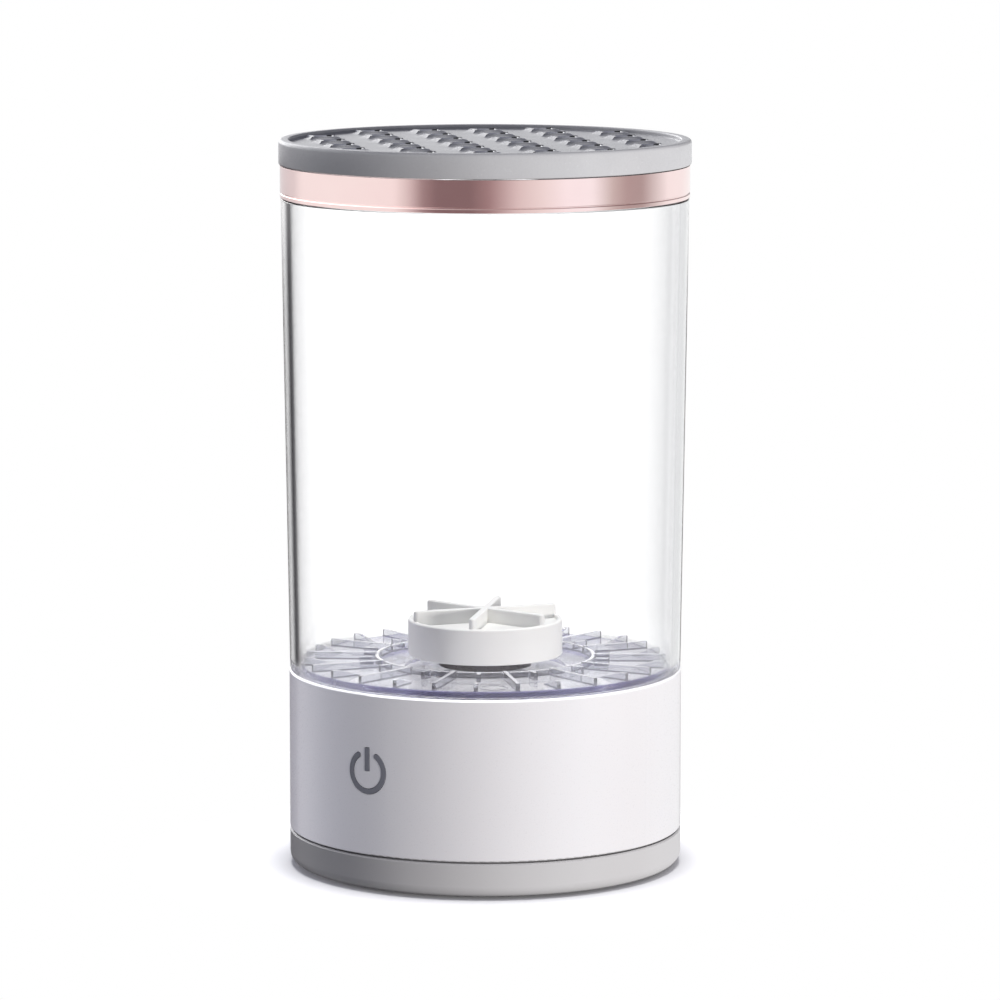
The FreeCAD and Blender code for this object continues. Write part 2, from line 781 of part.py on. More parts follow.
def star_field(body, name, column, row, columns, rows, row_step):
    """A block of star openings in low collars, repeated along both lattice directions."""
    turn = math.radians(size("star_turn"))
    collar = body.newObject("PartDesign::AdditiveCone", name + "_collar")
    across = column * math.cos(turn) - row * math.sin(turn)
    along = column * math.sin(turn) + row * math.cos(turn)
    tie(collar, Radius1="collar_base", Radius2="collar_top", Height="collar_height + overlap")
    tie(collar, Placement__Base__x="star_pitch * %.6f" % across,
        Placement__Base__y="star_pitch * %.6f" % along,
        Placement__Base__z="lid_sheet_top - overlap")
    doc.recompute()
    sketch = new_sketch(body, "XY_Plane", name, "lid_top", size("star_turn"))
    star_outline(sketch, column, row)
    cut = feature(body, "Pocket", sketch, "lid_top - lid_sheet_top + lid_sheet + cut_over")
    doc.recompute()
    field = doc.addObject("PartDesign::MultiTransform", name + "_field")
    field.Originals = [collar, cut]
    body.addObject(field)
    steps = []
    for axis, count, length in (("H_Axis", columns, "%d * star_pitch" % (columns - 1)),
                                ("V_Axis", rows, "%d * star_pitch" % ((rows - 1) * row_step))):
        line = doc.addObject("PartDesign::LinearPattern", name + "_" + axis.lower())
        line.Direction = (sketch, [axis])
        line.Occurrences = count
        tie(line, Length=length)
        body.addObject(line)
        steps.append(line)
    field.Transformations = steps
    body.Tip = field
    doc.recompute()


def make_silicone_lid():
    body = turned("silicone_lid", [
        ("0", "lid_sheet_top - lid_sheet"),
        ("lid_radius - lid_skirt", "lid_sheet_top - lid_sheet"),
        ("lid_radius - lid_skirt", "lid_skirt_bottom"),
        ("lid_radius", "lid_skirt_bottom"),
        ("lid_radius", "lid_top"),
        ("lid_radius - lid_rim", "lid_top"),
        ("lid_radius - lid_rim", "lid_sheet_top"),
        ("0", "lid_sheet_top"),
    ])
    soften(body, "Fillet", "lid_edge", [("lid_radius", "lid_top")])
    star_field(body, "wide_stars", -2.5, -1.5, 6, 4, 1)
    star_field(body, "end_stars", -1.5, -2.5, 4, 2, 5)
    return body


# ---------------------------------------------------------------- scrub disc

def make_scrub_disc():
    body = turned("scrub_disc", [
        ("disc_bore", "disc_bottom"),
        ("disc_radius - disc_chamfer", "disc_bottom"),
        ("disc_radius", "disc_bottom + disc_chamfer"),
        ("disc_radius", "disc_top"),
        ("disc_ring", "disc_top"),
        ("disc_ring", "disc_ring_top"),
        ("disc_ring - disc_ring_wall", "disc_ring_top"),
        ("disc_ring - disc_ring_wall", "disc_top - disc_recess"),
        ("disc_bore", "disc_top - disc_recess"),
    ])
    half_step = 180.0 / size("rib_count")
    upright = Vector(0, 1, 0)
    under = "disc_top - rib_root"
    shapes = (
        ("long_rib", 0.0, [("disc_ring - rib_overlap", under), ("rib_reach", under),
                           ("rib_reach", "rib_top"), ("disc_ring - rib_overlap", "rib_top")]),
        ("inner_nub", half_step, [("nub_start", under), ("nub_end", under),
                                  ("nub_end", "rib_top"), ("nub_start", "rib_top")]),
        ("outer_nub", half_step, [("ramp_start", under), ("rib_reach", under),
                                  ("rib_reach", "rib_top"), ("ramp_crest", "rib_top"),
                                  ("ramp_start", "disc_top")]),
    )
    for name, turn, corners in shapes:
        sketch = new_sketch(body, "XZ_Plane", name, "-rib_width / 2", turn, upright)
        outline(sketch, corners)
        pad = feature(body, "Pad", sketch, "rib_width")
        around(body, pad, "rib_count", name + "_ring")
    mark = new_sketch(body, "XY_Plane", "ejector_mark", "disc_top")
    place = math.radians(size("mark_angle") - size("rib_phase"))
    circle(mark, "mark_radius", "mark_place * %.5f" % math.cos(place), "mark_place * %.5f" % math.sin(place))
    feature(body, "Pocket", mark, "mark_depth")
    tie(body, Placement__Rotation__Angle="rib_phase * 1 deg")
    return body


# ---------------------------------------------------------------- impeller

def magnet_spot(number):
    angle = 2 * math.pi * number / size("magnet_count")
    return "magnet_circle * %.6f" % math.cos(angle), "magnet_circle * %.6f" % math.sin(angle)


def magnet_pockets(body, name, level, depth, backwards):
    sketch = new_sketch(body, "XY_Plane", name, level)
    for number in range(int(size("magnet_count"))):
        across, up = magnet_spot(number)
        circle(sketch, "magnet_radius + magnet_fit", across, up)
    feature(body, "Pocket", sketch, depth, backwards)
    doc.recompute()


def make_magnets(name, low):
    pieces = []
    for number in range(int(size("magnet_count"))):
        across, along = magnet_spot(number)
        pieces.append(cylinder("%s_%d" % (name, number), "magnet_radius", "magnet_height",
                               across, along, low))
    return group(name, pieces)


def make_impeller_cap():
    inside = "cap_floor - cap_plate"
    body = turned("impeller_cap", [
        ("cap_radius - cap_wall", "cap_bottom"),
        ("cap_radius", "cap_bottom"),
        ("cap_radius", "cap_rim"),
        ("cap_radius - cap_lip", "cap_rim"),
        ("cap_radius - cap_lip", "cap_floor"),
        ("0", "cap_floor"),
        ("0", inside),
        ("carrier_boss + magnet_fit", inside),
        ("carrier_boss + magnet_fit", "carrier_top + socket_lift"),
        ("cap_socket", "carrier_top + socket_lift"),
        ("cap_socket", inside),
        ("cap_radius - cap_wall", inside),
    ])
    soften(body, "Fillet", "cap_edge", [("cap_radius", "cap_rim"), ("cap_radius", "cap_bottom")])
    vane = new_sketch(body, "XY_Plane", "vane", "cap_floor - vane_root")
    stadium(vane, "vane_reach - vane_width / 2", "vane_width / 2", "0")
    pad = feature(body, "Pad", vane, "vane_top - cap_floor + vane_root")
    around(body, pad, "vane_walls", "vane_ring")
    web = new_sketch(body, "XY_Plane", "web", "%s - web_depth" % inside)
    block_outline(web, "cap_socket - web_root", "cap_radius - cap_wall + web_root", "-web_half", "web_half")
    web_pad = feature(body, "Pad", web, "web_depth + vane_root")
    around(body, web_pad, "web_count", "web_ring")
    tie(body, Placement__Rotation__Angle="vane_turn * 1 deg")
    return body


def make_magnet_carrier():
    body = turned("magnet_carrier", [
        ("bush_radius", "carrier_bottom"),
        ("carrier_radius", "carrier_bottom"),
        ("carrier_radius", "carrier_top"),
        ("carrier_boss", "carrier_top"),
        ("carrier_boss", "carrier_boss_top"),
        ("bush_radius", "carrier_boss_top"),
    ])
    magnet_pockets(body, "carrier_pockets", "carrier_bottom", "magnet_height + fit_gap", True)
    return body


def make_hub_bush():
    return turned("hub_bush", [
        ("spindle_radius + running_gap", "bush_bottom"),
        ("bush_radius", "bush_bottom"),
        ("bush_radius", "bush_top"),
        ("0", "bush_top"),
        ("0", "spindle_top + fit_gap"),
        ("spindle_radius + running_gap", "spindle_top + fit_gap"),
    ])


def make_spindle_pin():
    return turned("spindle_pin", [
        ("0", "spindle_bottom"),
        ("spindle_radius", "spindle_bottom"),
        ("spindle_radius", "spindle_top - spindle_chamfer"),
        ("spindle_radius - spindle_chamfer", "spindle_top"),
        ("0", "spindle_top"),
    ])


def make_thrust_washer():
    return turned("thrust_washer", [
        ("spindle_radius + fit_gap", "boss_top"),
        ("washer_radius", "boss_top"),
        ("washer_radius", "washer_top"),
        ("spindle_radius + fit_gap", "washer_top"),
    ])


# ---------------------------------------------------------------- motor and drive rotor

def make_drive_rotor():
    body = turned("drive_rotor", [
        ("shaft_radius", "rotor_hub_bottom"),
        ("rotor_hub", "rotor_hub_bottom"),
        ("rotor_hub", "rotor_bottom"),
        ("rotor_radius", "rotor_bottom"),
        ("rotor_radius", "rotor_top"),
        ("shaft_radius", "rotor_top"),
    ])
    magnet_pockets(body, "rotor_pockets", "rotor_top", "magnet_height + fit_gap", False)
    return body


def make_motor_shaft():
    return cylinder("motor_shaft", "shaft_radius", "shaft_top - shaft_bottom", up="shaft_bottom")


def make_armature():
    """A slotted lamination stack with three poles, on the shaft."""
    stack = cylinder("armature_stack", "armature_radius", "armature_height", up="armature_bottom")
    bore = cylinder("armature_bore", "shaft_radius", "armature_height", up="armature_bottom")
    poles = int(size("pole_count"))
    slots = []
    for number in range(poles):
        slot = doc.addObject("Part::Box", "armature_slot_%d" % number)
        tie(slot, Length="armature_radius", Width="slot_width", Height="armature_height + 2 * cut_over")
        turn = Rotation(Vector(0, 0, 1), 360.0 * number / poles)
        start = turn.multVec(Vector(size("slot_bottom"), -size("slot_width") / 2, 0))
        slot.Placement = Placement(start + Vector(0, 0, size("armature_bottom") - size("cut_over")), turn)
        slots.append(slot)
    return boolean("Cut", "armature", stack, union("armature_ways", [bore] + slots))


def make_stator_magnets():
    low, height = "armature_bottom - cut_over", "armature_height + 2 * cut_over"
    outer = cylinder("stator_outer", "motor_radius - motor_wall", height, up=low)
    inner = cylinder("stator_inner", "stator_bore", height, up=low)
    gap = block("stator_gap_cut", "-stator_gap", "stator_gap", "-motor_radius", "motor_radius",
                low + " - cut_over", "armature_bottom + armature_height + 2 * cut_over")
    return boolean("Cut", "stator_magnets", outer, union("stator_ways", [inner, gap]))


def make_motor_can():
    body = turned("motor_can", [
        ("motor_radius - motor_wall", "motor_bottom"),
        ("motor_radius", "motor_bottom"),
        ("motor_radius", "motor_top"),
        ("motor_boss", "motor_top"),
        ("motor_boss", "motor_boss_top"),
        ("shaft_radius + running_gap", "motor_boss_top"),
        ("shaft_radius + running_gap", "motor_top - bearing_depth"),
        ("bearing_pocket", "motor_top - bearing_depth"),
        ("bearing_pocket", "motor_top - motor_wall"),
        ("motor_radius - motor_wall", "motor_top - motor_wall"),
    ])
    holes = new_sketch(body, "XY_Plane", "can_screw_holes", "motor_top")
    for side in (-1, 1):
        circle(holes, "screw_radius", "0", "%d * motor_screw_place" % side)
    feature(body, "Pocket", holes, "motor_wall")
    soften(body, "Fillet", "can_edge", [("motor_radius", "motor_top")])
    return body


def make_motor_end_cap():
    return turned("motor_end_cap", [
        ("shaft_radius + running_gap", "cap_ring_bottom - cap_boss_height"),
        ("cap_boss_radius", "cap_ring_bottom - cap_boss_height"),
        ("cap_boss_radius", "cap_ring_bottom"),
        ("motor_radius - cap_inset", "cap_ring_bottom"),
        ("motor_radius - cap_inset", "motor_bottom"),
        ("motor_radius - motor_wall", "motor_bottom"),
        ("motor_radius - motor_wall", "motor_bottom + cap_plug"),
        ("shaft_radius + running_gap", "motor_bottom + cap_plug"),
    ])


def make_motor_terminals():
    tabs = []
    for side, name in ((-1, "terminal_left"), (1, "terminal_right")):
        middle = "%d * terminal_place" % side
        tabs.append(block(name, middle + " - terminal_half", middle + " + terminal_half", "-terminal_front",
                          "terminal_thick - terminal_front", "terminal_bottom", "cap_ring_bottom"))
    return group("motor_terminals", tabs)


def make_motor_bracket():
    """A pressed plate: a disc over the motor's face and two arms to the deck's posts."""
    body = new_body("motor_bracket")
    disc = new_sketch(body, "XY_Plane", "bracket_plate", "motor_top")
    circle(disc, "bracket_disc")
    feature(body, "Pad", disc, "bracket_thick")
    arms = new_sketch(body, "XY_Plane", "bracket_arms", "motor_top")
    stadium(arms, "bracket_arm", "bracket_arm_width / 2", "0")
    feature(body, "Pad", arms, "bracket_thick")
    holes = new_sketch(body, "XY_Plane", "bracket_holes", "motor_top")
    circle(holes, "motor_boss + fit_gap")
    for side in (-1, 1):
        circle(holes, "screw_radius + loose_fit", "0", "%d * motor_screw_place" % side)
        circle(holes, "screw_radius + loose_fit", "%d * bracket_arm" % side, "0")
    feature(body, "Pocket", holes, "bracket_thick", backwards=True)
    doc.recompute()
    return body


def screw(name, head, head_height, shank, across, along, seat, length, up):
    """A pan-head screw: seat is where its head bears, and up says which way the shank points."""
    if up:
        cap = cylinder(name + "_head", head, head_height, across, along, "%s - (%s)" % (seat, head_height))
        stem = cylinder(name + "_shank", shank, "(%s) + overlap" % length, across, along,
                        "%s - overlap" % seat)
    else:
        cap = cylinder(name + "_head", head, head_height, across, along, seat)
        stem = cylinder(name + "_shank", shank, "(%s) + overlap" % length, across, along,
                        "%s - (%s)" % (seat, length))
    return union(name, [cap, stem])


def make_motor_screws():
    screws = [screw("motor_screw_%d" % number, "screw_head", "screw_head_height", "screw_radius",
                    "0", "%d * motor_screw_place" % side, "motor_top + bracket_thick",
                    "motor_screw_length", False)
              for number, side in enumerate((-1, 1))]
    return group("motor_screws", screws)


def make_bracket_screws():
    screws = [screw("bracket_screw_%d" % number, "screw_head", "screw_head_height", "screw_radius",
                    "%d * bracket_arm" % side, "0", "motor_top", "bracket_screw_length", True)
              for number, side in enumerate((-1, 1))]
    return group("bracket_screws", screws)


def make_case_screws():
    screws = []
    for number, angle in enumerate(CASE_SCREW_ANGLES):
        across, along = case_screw_spot(angle)
        screws.append(screw("case_screw_%d" % number, "case_screw_head", "case_screw_head_height",
                            "case_screw_radius", across, along, "case_seat", "case_screw_length", True))
    return group("case_screws", screws)


# ---------------------------------------------------------------- battery

def make_battery_cell():
    """A cylindrical cell, turned upright and then laid along X."""
    body = turned("battery_cell", [
        ("0", "0"),
        ("cell_radius", "0"),
        ("cell_radius", "cell_length"),
        ("cell_nub_radius", "cell_length"),
        ("cell_nub_radius", "cell_length + cell_nub"),
        ("0", "cell_length + cell_nub"),
    ])
    soften(body, "Fillet", "cell_edge", [("cell_radius", "0"), ("cell_radius", "cell_length")])
    body.Placement = Placement(Vector(0, 0, 0), Rotation(Vector(0, 1, 0), 90))
    tie(body, Placement__Base__x="-cell_length / 2", Placement__Base__y="cell_place")
    tie(body, Placement__Base__z="cell_height")
    return body


def make_battery_tabs():
    sides = ("cell_place - tab_half", "cell_place + tab_half",
             "cell_height - tab_drop", "cell_height + tab_rise")
    left = block("tab_left", "-cell_length / 2 - tab_thick", "-cell_length / 2", *sides)
    right = block("tab_right", "cell_length / 2 + cell_nub",
                  "cell_length / 2 + cell_nub + tab_thick", *sides)
    return group("battery_tabs", [left, right])


# ---------------------------------------------------------------- power key and control board

def make_power_key():
    """A symbol-shaped key: its open ring and bar stand on one plate behind the shell."""
    body = new_body("power_key")
    plate = new_sketch(body, "XZ_Plane", "key_carrier", "key_back")
    block_outline(plate, "-key_half_width", "key_half_width", "key_height - key_half_height",
                  "key_height + key_half_height")
    feature(body, "Pad", plate, "key_plate")
    icon = new_sketch(body, "XZ_Plane", "key_icon", "key_back + key_root")
    power_icon(icon, "0")
    feature(body, "Pad", icon, "key_depth")
    face = new_sketch(body, "XZ_Plane", "key_face")
    block_outline(face, "shell_radius + key_proud", "shell_radius + key_trim_out",
                  "key_height - key_trim_half", "key_height + key_trim_half")
    trim = body.newObject("PartDesign::Groove", "key_face_groove")
    trim.Profile = (face, [""])
    trim.ReferenceAxis = (face, ["V_Axis"])
    trim.Angle = 360
    doc.recompute()
    return body


def make_switch_plunger():
    item = cylinder("switch_plunger", "plunger_radius", "plunger_length", along="-key_back", up="key_height")
    item.Placement.Rotation = Rotation(Vector(1, 0, 0), -90)
    return item


def make_tact_switch():
    half = "switch_side / 2"
    case = block("switch_case", "-" + half, half, "board_front - switch_depth", "board_front",
                 "key_height - " + half, "key_height + " + half)
    bore = cylinder("switch_bore", "plunger_bore", "plunger_bore_depth",
                    along="board_front - switch_depth", up="key_height")
    bore.Placement.Rotation = Rotation(Vector(1, 0, 0), -90)
    return boolean("Cut", "tact_switch", case, bore)


def make_control_board():
    return block("control_board", "-board_half", "board_half", "board_front", "board_front + board_thick",
                 "board_bottom", "board_top")


def make_status_led():
    return block("status_led", "-led_half", "led_half", "board_front - led_depth", "board_front",
                 "key_height + led_low", "key_height + led_high")


def make_board_parts():
    """The driver chip, its inductor and two capacitors, on the board's inner face."""
    face = "board_front + board_thick"
    small = (face, face + " + capacitor_depth", "key_height - capacitor_half_height",
             "key_height + capacitor_half_height")
    chip = block("driver_chip", "-chip_half", "chip_half", face, face + " + chip_depth",
                 "key_height - chip_half_height", "key_height + chip_half_height")
    left = block("capacitor_left", "-capacitor_outer", "-capacitor_inner", *small)
    right = block("capacitor_right", "capacitor_inner", "capacitor_outer", *small)
    coil = block("inductor", "-coil_half", "coil_half", face, face + " + coil_depth",
                 "board_bottom + coil_low", "board_bottom + coil_high")
    return group("board_parts", [chip, left, right, coil])


# ---------------------------------------------------------------- charging board

def make_charge_board():
    plate = block("charge_plate", "-charge_half", "charge_half", "charge_back", "charge_front",
                  "charge_bottom", "charge_bottom + board_thick")
    holes = [cylinder("charge_hole_%d" % number, "screw_radius + fit_gap", "board_thick",
                      "%d * charge_post" % side, "charge_post_place", "charge_bottom")
             for number, side in enumerate(CHARGE_SIDES)]
    return boolean("Cut", "charge_board", plate, union("charge_holes", holes))


def make_charge_screws():
    screws = [screw("charge_screw_%d" % number, "charge_screw_head", "charge_screw_head_height",
                    "screw_radius", "%d * charge_post" % side, "charge_post_place",
                    "charge_bottom + board_thick", "charge_screw_length", False)
              for number, side in enumerate(CHARGE_SIDES)]
    return group("charge_screws", screws)


SOCKET_LOW = "charge_bottom + board_thick"


def make_charge_socket():
    """The drawn steel shell of the charging socket, closed at its inner end."""
    body = new_body("charge_socket")
    middle = SOCKET_LOW + " + socket_height / 2"
    straight = "(socket_width - socket_height) / 2"
    shell = new_sketch(body, "XZ_Plane", "socket_shell", "-socket_mouth")
    stadium(shell, straight, "socket_height / 2", middle)
    feature(body, "Pad", shell, "socket_length")
    mouth = new_sketch(body, "XZ_Plane", "socket_inside", "-socket_mouth")
    stadium(mouth, straight, "socket_height / 2 - socket_wall", middle)
    feature(body, "Pocket", mouth, "socket_length - socket_back", backwards=True)
    doc.recompute()
    return body


def make_socket_tongue():
    middle = SOCKET_LOW + " + socket_height / 2"
    return block("socket_tongue", "-tongue_half", "tongue_half",
                 "socket_mouth - socket_length + socket_back", "tongue_front",
                 middle + " - tongue_half_thick", middle + " + tongue_half_thick")


def make_charge_parts():
    """The charging chip and a capacitor, beside the socket."""
    high = SOCKET_LOW + " + charge_part_height"
    chip = block("charge_chip", "charge_chip_left", "charge_chip_right", "charge_chip_back",
                 "charge_part_front", SOCKET_LOW, high)
    capacitor = block("charge_capacitor", "-charge_capacitor_outer", "-charge_capacitor_inner",
                      "charge_capacitor_back", "charge_part_front", SOCKET_LOW, high)
    return group("charge_parts", [chip, capacitor])


# ---------------------------------------------------------------- leads

def lead(points):
    """One insulated wire swept along a smooth path through the points."""
    path = Part.BSplineCurve()
    path.interpolate([Vector(*point) for point in points])
    spine = Part.Wire([path.toShape()])
    start = path.value(path.FirstParameter)
    heading = path.tangent(path.FirstParameter)[0]
    section = Part.Wire([Part.makeCircle(size("wire_radius"), start, heading)])
    return spine.makePipeShell([section], True, True)


def make_leads(name, paths):
    item = doc.addObject("Part::Feature", name)
    item.Label = name
    item.Shape = Part.makeCompound([lead(points) for points in paths])
    item.Placement = Placement()
    return item


# Routes of the wires, as (across, along, up) distances from the places they join.
MOTOR_LEAD = 5.0                              # each motor lead runs this far beside the middle
MOTOR_ROUTE = ((-9, 5.2), (-14, 5.2), (-24, 7))
BOARD_END = ((2.5, 13), (0.5, 16))
CELL_START = (2, 14)                          # outwards from the cell's end, and above the bottom face
CELL_ROUTE = ((5, 11, 2.6), (10.5, 8, -4.25), (13.5, 9.5, -13.25))
CELL_END = (7, 15.5, -0.4)                    # up is counted from the charging board
LINK_START = ((-7.2, 33.9, 0.3), (-9, 30, 5))    # up is counted from the charging board's face
LINK_CLEARANCE = 2.5                          # how far the cable passes above the cell
LINK_ROUTE = ((-15, 22, 0), (-20, 8, 0), (-20, -10, -1), (-13, -26, 0))
LINK_END = (-9, 0.4, 1)                       # along is counted from the control board's face


def make_motor_leads():
    inner = size("board_front") + size("board_thick")
    paths = []
    for side in (-1, 1):
        across = side * MOTOR_LEAD
        paths.append([(across, along, up) for along, up in MOTOR_ROUTE]
                     + [(across, inner + away, up) for away, up in BOARD_END])
    return make_leads("motor_leads", paths)


def make_battery_leads():
    place = size("cell_place")
    reach = size("cell_length") / 2
    start_out, start_up = CELL_START
    end_across, end_along, end_up = CELL_END
    paths = []
    for side in (-1, 1):
        path = [(side * (reach + start_out), place, start_up)]
        path += [(side * (reach + away), place + along, up) for along, up, away in CELL_ROUTE]
        path.append((side * end_across, place + end_along, size("charge_bottom") + end_up))
        paths.append(path)
    return make_leads("battery_leads", paths)


def make_link_cable():
    inner = size("board_front") + size("board_thick")
    top = size("charge_bottom") + size("board_thick")
    lift = size("cell_height") + size("cell_radius") + LINK_CLEARANCE
    end_across, end_along, end_up = LINK_END
    path = [(across, along, top + up) for across, along, up in LINK_START]
    path += [(across, along, lift + up) for across, along, up in LINK_ROUTE]
    path.append((end_across, inner + end_along, lift + end_up))
    return make_leads("link_cable", [path])


# ---------------------------------------------------------------- build, check and write

MAKERS = (
    make_base_housing, make_bottom_cover, make_anti_slip_pad, make_case_screws,
    make_motor_can, make_motor_end_cap, make_motor_terminals, make_stator_magnets, make_motor_bracket,
    make_motor_screws, make_bracket_screws, make_battery_cell, make_battery_tabs, make_battery_leads,
    make_control_board, make_board_parts, make_tact_switch, make_status_led, make_motor_leads,
    make_link_cable,
    make_charge_board, make_charge_parts, make_charge_screws, make_charge_socket, make_socket_tongue,
    make_power_key, make_switch_plunger,
    make_motor_shaft, make_armature, make_drive_rotor,
    make_clear_cup, make_trim_ring, make_spindle_pin, make_thrust_washer,
    make_hub_bush, make_magnet_carrier, make_impeller_cap,
    make_scrub_disc, make_silicone_lid,
)


def build():
    pieces = [make() for make in MAKERS]
    pieces.append(make_magnets("driven_magnets", "carrier_bottom"))
    pieces.append(make_magnets("drive_magnets", "rotor_top - magnet_height"))
    doc.recompute()
    return pieces


def faults(pieces):
    """Every object that failed to build, and every piece without a valid solid."""
    bad = [item.Name for item in doc.Objects if "Invalid" in item.State or "Error" in item.State]
    for piece in pieces:
        if piece.Shape.isNull() or not piece.Shape.isValid() or not piece.Shape.Solids:
            bad.append(piece.Label + " shape")
    return bad


def write(pieces):
    os.makedirs("parts", exist_ok=True)
    for piece in pieces:
        piece.Shape.exportStep(os.path.join("parts", piece.Label + ".step"))


made = build()
problems = faults(made)
if problems:
    raise SystemExit("not built: " + ", ".join(problems))
write(made)
print("wrote %d nodes" % len(made))
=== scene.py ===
"""Looks for the electric brush cleaner: a white rechargeable base, a clear cup with a rose-gold rim,
a ribbed scrub disc round a magnet-driven impeller, and a grey silicone lid with star openings.
Lengths in this script are in metres, and small details are stated as millimetres times MM."""

import math

import bmesh
import bpy
from mathutils import Matrix, Vector
from mathutils.geometry import delaunay_2d_cdt


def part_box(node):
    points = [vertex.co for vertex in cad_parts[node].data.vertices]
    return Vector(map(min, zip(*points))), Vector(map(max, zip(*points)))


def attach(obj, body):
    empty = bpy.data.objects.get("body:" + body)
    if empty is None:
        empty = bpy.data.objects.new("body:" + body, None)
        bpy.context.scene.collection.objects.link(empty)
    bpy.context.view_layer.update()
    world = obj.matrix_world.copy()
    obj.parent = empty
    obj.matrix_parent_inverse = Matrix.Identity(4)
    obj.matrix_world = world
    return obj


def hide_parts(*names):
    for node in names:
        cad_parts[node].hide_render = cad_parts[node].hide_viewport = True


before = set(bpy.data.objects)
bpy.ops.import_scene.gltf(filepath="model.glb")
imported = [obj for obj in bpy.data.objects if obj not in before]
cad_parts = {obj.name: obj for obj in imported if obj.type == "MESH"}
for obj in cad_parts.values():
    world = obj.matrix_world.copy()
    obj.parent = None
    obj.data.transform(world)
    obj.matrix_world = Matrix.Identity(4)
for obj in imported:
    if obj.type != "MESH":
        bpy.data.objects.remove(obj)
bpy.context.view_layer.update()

MM = 0.001
TURNS = 240                  # facets round most turned pieces
CREASE = math.radians(38)    # edges sharper than this stay sharp in the shading
HAIR = 0.012 * MM            # how far turned pieces stay inside the boxes of the CAD nodes
TOUCHING = 1e-7              # spots closer than this are one spot
SAME_POINT = 1e-8            # the same for the corners of the lid's flat sheet
FILLET_STEPS = 5             # edges along the arc of each fillet
SIDE_SHARE = 0.49            # the most that a fillet takes of the side it stands on

CAMERA_AZIMUTH = 36.0        # degrees from the front of the power key to the camera's side


# ---------------------------------------------------------------- mesh helpers

def outer_radius(node):
    """The radius that a turned piece is drawn with, from the box of its CAD node."""
    low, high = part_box(node)
    return max(high.x - low.x, high.y - low.y) / 2 - HAIR


def levels(node):
    """The lowest and the highest level of a CAD node."""
    low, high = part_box(node)
    return low.z, high.z


def rounded(corners, closed=True, steps=FILLET_STEPS):
    """An outline of (radius, height, fillet) corners, each fillet drawn as a short arc."""
    points = []
    count = len(corners)
    for k, (radius, height, fillet) in enumerate(corners):
        here = Vector((radius, height))
        if fillet <= 0 or (not closed and k in (0, count - 1)):
            points.append(here)
            continue
        before = Vector(corners[k - 1][:2]) - here
        after = Vector(corners[(k + 1) % count][:2]) - here
        half = before.angle(after) / 2
        cut = min(fillet / math.tan(half), SIDE_SHARE * before.length, SIDE_SHARE * after.length)
        radius = cut * math.tan(half)
        centre = here + (before.normalized() + after.normalized()).normalized() * (cut / math.cos(half))
        start = here + before.normalized() * cut - centre
        end = here + after.normalized() * cut - centre
        first = math.atan2(start.y, start.x)
        sweep = math.remainder(math.atan2(end.y, end.x) - first, 2 * math.pi)
        for step in range(steps + 1):
            angle = first + sweep * step / steps
            points.append(centre + Vector((math.cos(angle), math.sin(angle))) * radius)
    return points


def ring(bm, radius, height, turns=TURNS):
    """A loop of vertices round the vertical axis, or one vertex on it."""
    if radius < TOUCHING:
        return [bm.verts.new((0, 0, height))]
    spots = [2 * math.pi * k / turns for k in range(turns)]
    return [bm.verts.new((radius * math.cos(a), radius * math.sin(a), height)) for a in spots]


def bridge(bm, lower, upper):
    """Faces between two loops of the same count, or between a loop and one vertex."""
    count = max(len(lower), len(upper))
    if count == 1:
        return
    for k in range(count):
        after = (k + 1) % count
        corners = [lower[k % len(lower)], lower[after % len(lower)],
                   upper[after % len(upper)], upper[k % len(upper)]]
        unique = list(dict.fromkeys(corners))
        if len(unique) > 2:
            bm.faces.new(unique)


def finish_mesh(bm, name, crease=CREASE):
    """Turn a bmesh into an object with clean normals, smooth except across sharp edges."""
    bmesh.ops.remove_doubles(bm, verts=bm.verts, dist=TOUCHING)
    bmesh.ops.recalc_face_normals(bm, faces=bm.faces)
    mesh = bpy.data.meshes.new(name)
    bm.to_mesh(mesh)
    bm.free()
    mesh.polygons.foreach_set("use_smooth", [True] * len(mesh.polygons))
    mesh.set_sharp_from_angle(angle=crease)
    made = bpy.data.objects.new(name, mesh)
    bpy.context.scene.collection.objects.link(made)
    return made


def lathe(name, corners, closed=True, turns=TURNS, steps=FILLET_STEPS):
    """A turned piece from an outline of (radius, height, fillet) corners."""
    bm = bmesh.new()
    loops = [ring(bm, point.x, point.y, turns) for point in rounded(corners, closed, steps)]
    pairs = list(zip(loops, loops[1:]))
    if closed:
        pairs.append((loops[-1], loops[0]))
    for lower, upper in pairs:
        bridge(bm, lower, upper)
    return finish_mesh(bm, name)


def prism(name, outline, thickness, place, edge=0.12 * MM):
    """A flat outline given thickness about its middle plane, its edges rounded, put at place."""
    bm = bmesh.new()
    front, back = [bm.faces.new([bm.verts.new((x, side * thickness / 2, z)) for x, z in outline])
                   for side in (-1, 1)]
    count = len(outline)
    for k in range(count):
        after = (k + 1) % count
        bm.faces.new([front.verts[k], front.verts[after], back.verts[after], back.verts[k]])
    bmesh.ops.recalc_face_normals(bm, faces=bm.faces)
    if edge:
        bmesh.ops.bevel(bm, geom=bm.edges[:], offset=edge, segments=2, profile=0.5, affect="EDGES")
    bmesh.ops.transform(bm, matrix=place, verts=bm.verts)
    return finish_mesh(bm, name)


def merged(name, pieces):
    """Several objects joined into one, without fusing their volumes."""
    bm = bmesh.new()
    for piece in pieces:
        bm.from_mesh(piece.data)
        bpy.data.objects.remove(piece)
    return finish_mesh(bm, name)


def applied(piece):
    """Apply the piece's modifiers to its mesh."""
    bpy.context.view_layer.update()
    evaluated = piece.evaluated_get(bpy.context.evaluated_depsgraph_get())
    mesh = bpy.data.meshes.new_from_object(evaluated)
    piece.modifiers.clear()
    piece.data = mesh


